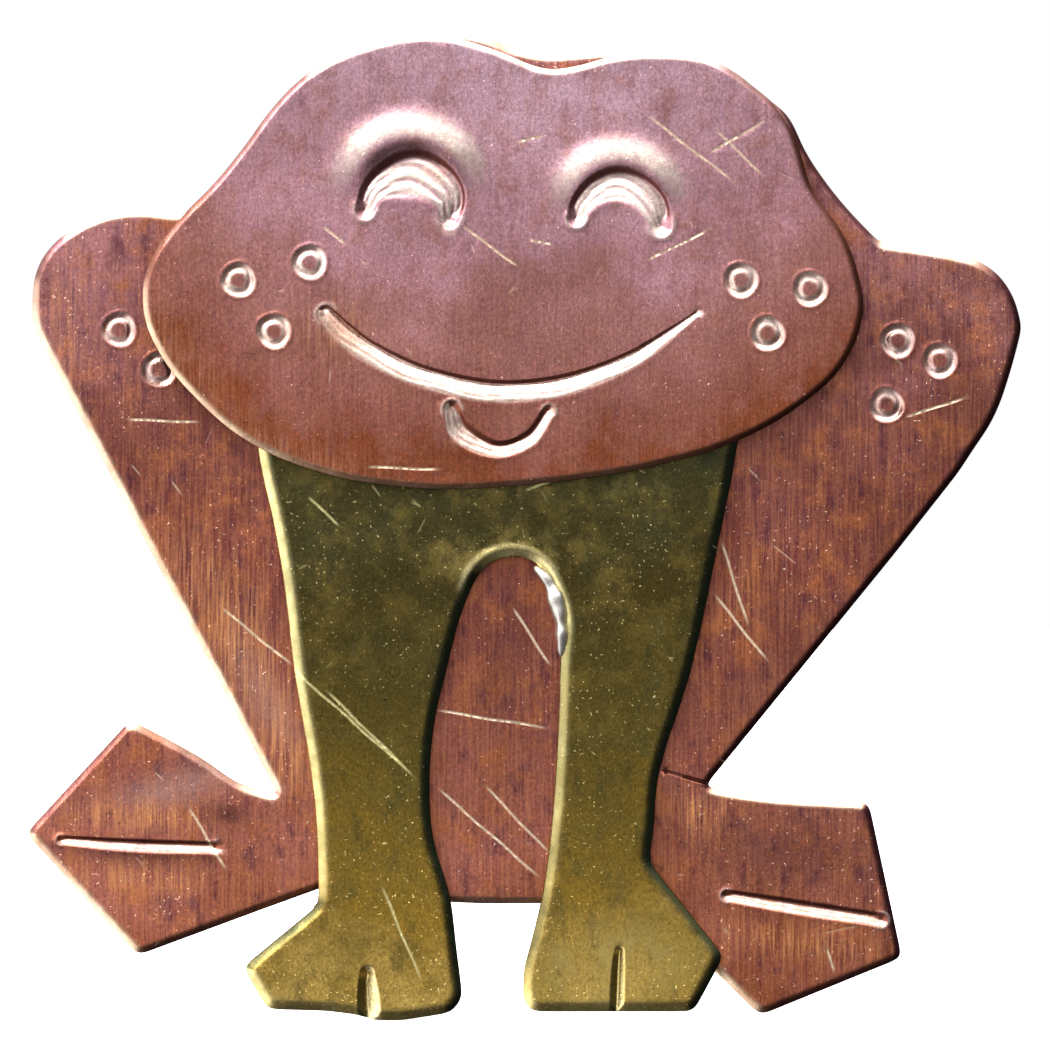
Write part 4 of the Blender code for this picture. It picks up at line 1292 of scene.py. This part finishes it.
def make_pin_stem():
    high, bore = EAR_GAP / 2 - EYE_PLAY, RIVET_RADIUS + BORE_PLAY
    corner = rounded(EYE_RADIUS, high, 0.16, np.linspace(0, math.pi / 2, 5))
    profile = [*corner, (bore + 0.06, high), (bore, high - 0.06)]
    eye = turned("pin_stem_wire", mirrored(profile), about_z(HINGE), ring=True)
    taper_from = box("pin_stem")[1][0] - HINGE[0] - POINT_LENGTH
    wire = [(WIRE_RADIUS, along) for along in np.linspace(WIRE_START, taper_from, 14)]
    wire += [(max(WIRE_RADIUS * (1 - share) ** 0.62, 0.02), taper_from + POINT_LENGTH * share)
             for share in np.linspace(0.06, 0.995, 16)]
    joined(eye, [turned("pin_wire", wire, about_x(HINGE), sides=28)], "UNION")
    dress(eye, STEEL_METAL, "stem", "steel", "pin_stem")


def make_catch_roller():
    x, y, z = CATCH
    end = HUB_HALF + FLANGE
    low, high = box("catch_roller")
    flange = [(0.001, end), (0.7, end), *rounded(ROLLER_RADIUS, end, 0.1, np.linspace(math.pi / 2, 0, 5))]
    hub = [(ROLLER_RADIUS, HUB_HALF + 0.03), (ROLLER_RADIUS - 0.03, HUB_HALF), (HUB_RADIUS, HUB_HALF)]
    roller = turned("catch_roller_wheel", mirrored(flange + hub), about_x(CATCH))
    tab = rounded_box("thumb_tab", (x + HUB_HALF + 0.08, y - TAB_HALF, low[2]),
                      (high[0] - 0.08, y + TAB_HALF, z - TAB_ROOT), 0.12)
    joined(roller, [tab], "UNION")
    past = end + CUT_OVER
    bore = turned("roller_bore", [(ROLLER_BORE, -past), (ROLLER_BORE, past)], about_x(CATCH), sides=40)
    slot = rounded_box("roller_slot", (x - past, y, z - SLOT_HALF),
                       (x + past, y + ROLLER_RADIUS + CUT_OVER, z + SLOT_HALF))
    joined(roller, [bore, slot], "DIFFERENCE", soften=0.04)
    dress(roller, NICKEL_METAL, "roller", "nickel", "catch_roller")


# ---------------------------------------------------------------- stage, light and camera

# The stage's lengths are in metres.
FLOOR_SIZE = 6
ROOM_LIGHT = 0.72
LEFT_LIGHT = 1.7
TOP_LIGHT = 3.2
KEY_PLACE = (-0.35, -0.45, 0.55)
KEY_SIZE = 0.35
KEY_POWER = 9
CAMERA_AWAY = 0.8
MARGIN = 1.05                       # of the picture over the object's width


def make_stage():
    floor_z = LEGS_LOW[2] * MM
    bpy.ops.mesh.primitive_plane_add(size=FLOOR_SIZE, location=(0, 0, floor_z))
    floor = bpy.context.object
    floor.name = "floor"
    floor.visible_glossy = False
    pale = bpy.data.materials.new("pale_floor")
    pale.use_nodes = True
    shader = pale.node_tree.nodes["Principled BSDF"]
    shader.inputs["Base Color"].default_value = (0.86, 0.86, 0.86, 1)
    shader.inputs["Roughness"].default_value = 0.9
    floor.data.materials.append(pale)


def make_world():
    """White behind the object, and around it a soft studio that is bright above and to the left."""
    world = bpy.data.worlds.new("studio")
    bpy.context.scene.world = world
    world.use_nodes = True
    tree = world.node_tree
    tree.nodes.clear()

    def node(kind, inputs, **settings):
        return add_node(tree, kind, inputs, **settings).outputs[0]

    def fade(value, low, high, to_low, to_high):
        inputs = {"Value": value, "From Min": low, "From Max": high, "To Min": to_low, "To Max": to_high}
        return node("ShaderNodeMapRange", inputs, interpolation_type="SMOOTHSTEP")

    def math_node(operation, a, b):
        return node("ShaderNodeMath", {0: a, 1: b}, operation=operation)

    way = tree.nodes.new("ShaderNodeTexCoord").outputs["Generated"]
    x, _, z = add_node(tree, "ShaderNodeSeparateXYZ", {0: way}).outputs
    room = math_node("MULTIPLY", fade(x, 0.1, 0.7, 1.0, 0.3), fade(z, -0.7, -0.1, 0.3, 1.0))
    room = math_node("MULTIPLY", room, ROOM_LIGHT)
    left = fade(x, -0.8, -0.25, LEFT_LIGHT, 0.0)
    above = math_node("MULTIPLY", fade(z, 0.22, 0.7, 0.0, TOP_LIGHT), fade(x, 0.2, 0.9, 1.0, 0.5))
    strength = math_node("ADD", room, math_node("MAXIMUM", left, above))
    studio = node("ShaderNodeBackground", {"Color": (1, 1, 1, 1), "Strength": strength})
    backdrop = node("ShaderNodeBackground", {"Color": (1, 1, 1, 1)})
    seen = tree.nodes.new("ShaderNodeLightPath").outputs["Is Camera Ray"]
    both = node("ShaderNodeMixShader", {0: seen, 1: studio, 2: backdrop})
    add_node(tree, "ShaderNodeOutputWorld", {"Surface": both})


def make_lamp():
    lamp = bpy.data.lights.new("key_light", "AREA")
    lamp.shape = "DISK"
    lamp.size = KEY_SIZE
    lamp.energy = KEY_POWER
    holder = add_object("key_light", lamp)
    holder.location = KEY_PLACE
    aim = -holder.location
    holder.rotation_euler = aim.to_track_quat("-Z", "Y").to_euler()


def make_camera():
    """Square on to the frog, with a small margin beside it."""
    across = -2 * MARGIN * BACK_LOW[0] * MM
    camera = bpy.data.cameras.new("camera")
    camera.sensor_width = 36
    camera.lens = camera.sensor_width * CAMERA_AWAY / across
    camera.clip_start = 0.01
    camera.clip_end = 20
    holder = add_object("camera", camera)
    holder.location = (0, LEGS_LOW[1] * MM - CAMERA_AWAY, 0)
    holder.rotation_euler = (math.pi / 2, 0, 0)
    bpy.context.scene.camera = holder


make_head()
make_back()
make_legs()
make_solder()
make_pin_bar()
make_rivet()
make_bar_solder()
make_pin_stem()
make_catch_roller()
make_stage()
make_world()
make_lamp()
make_camera()
bpy.context.scene.view_settings.view_transform = "Standard"

hidden_film = frame["nodes"]["solder_head"].data
hidden_film.materials.clear()
hidden_film.materials.append(SOLDER_METAL)
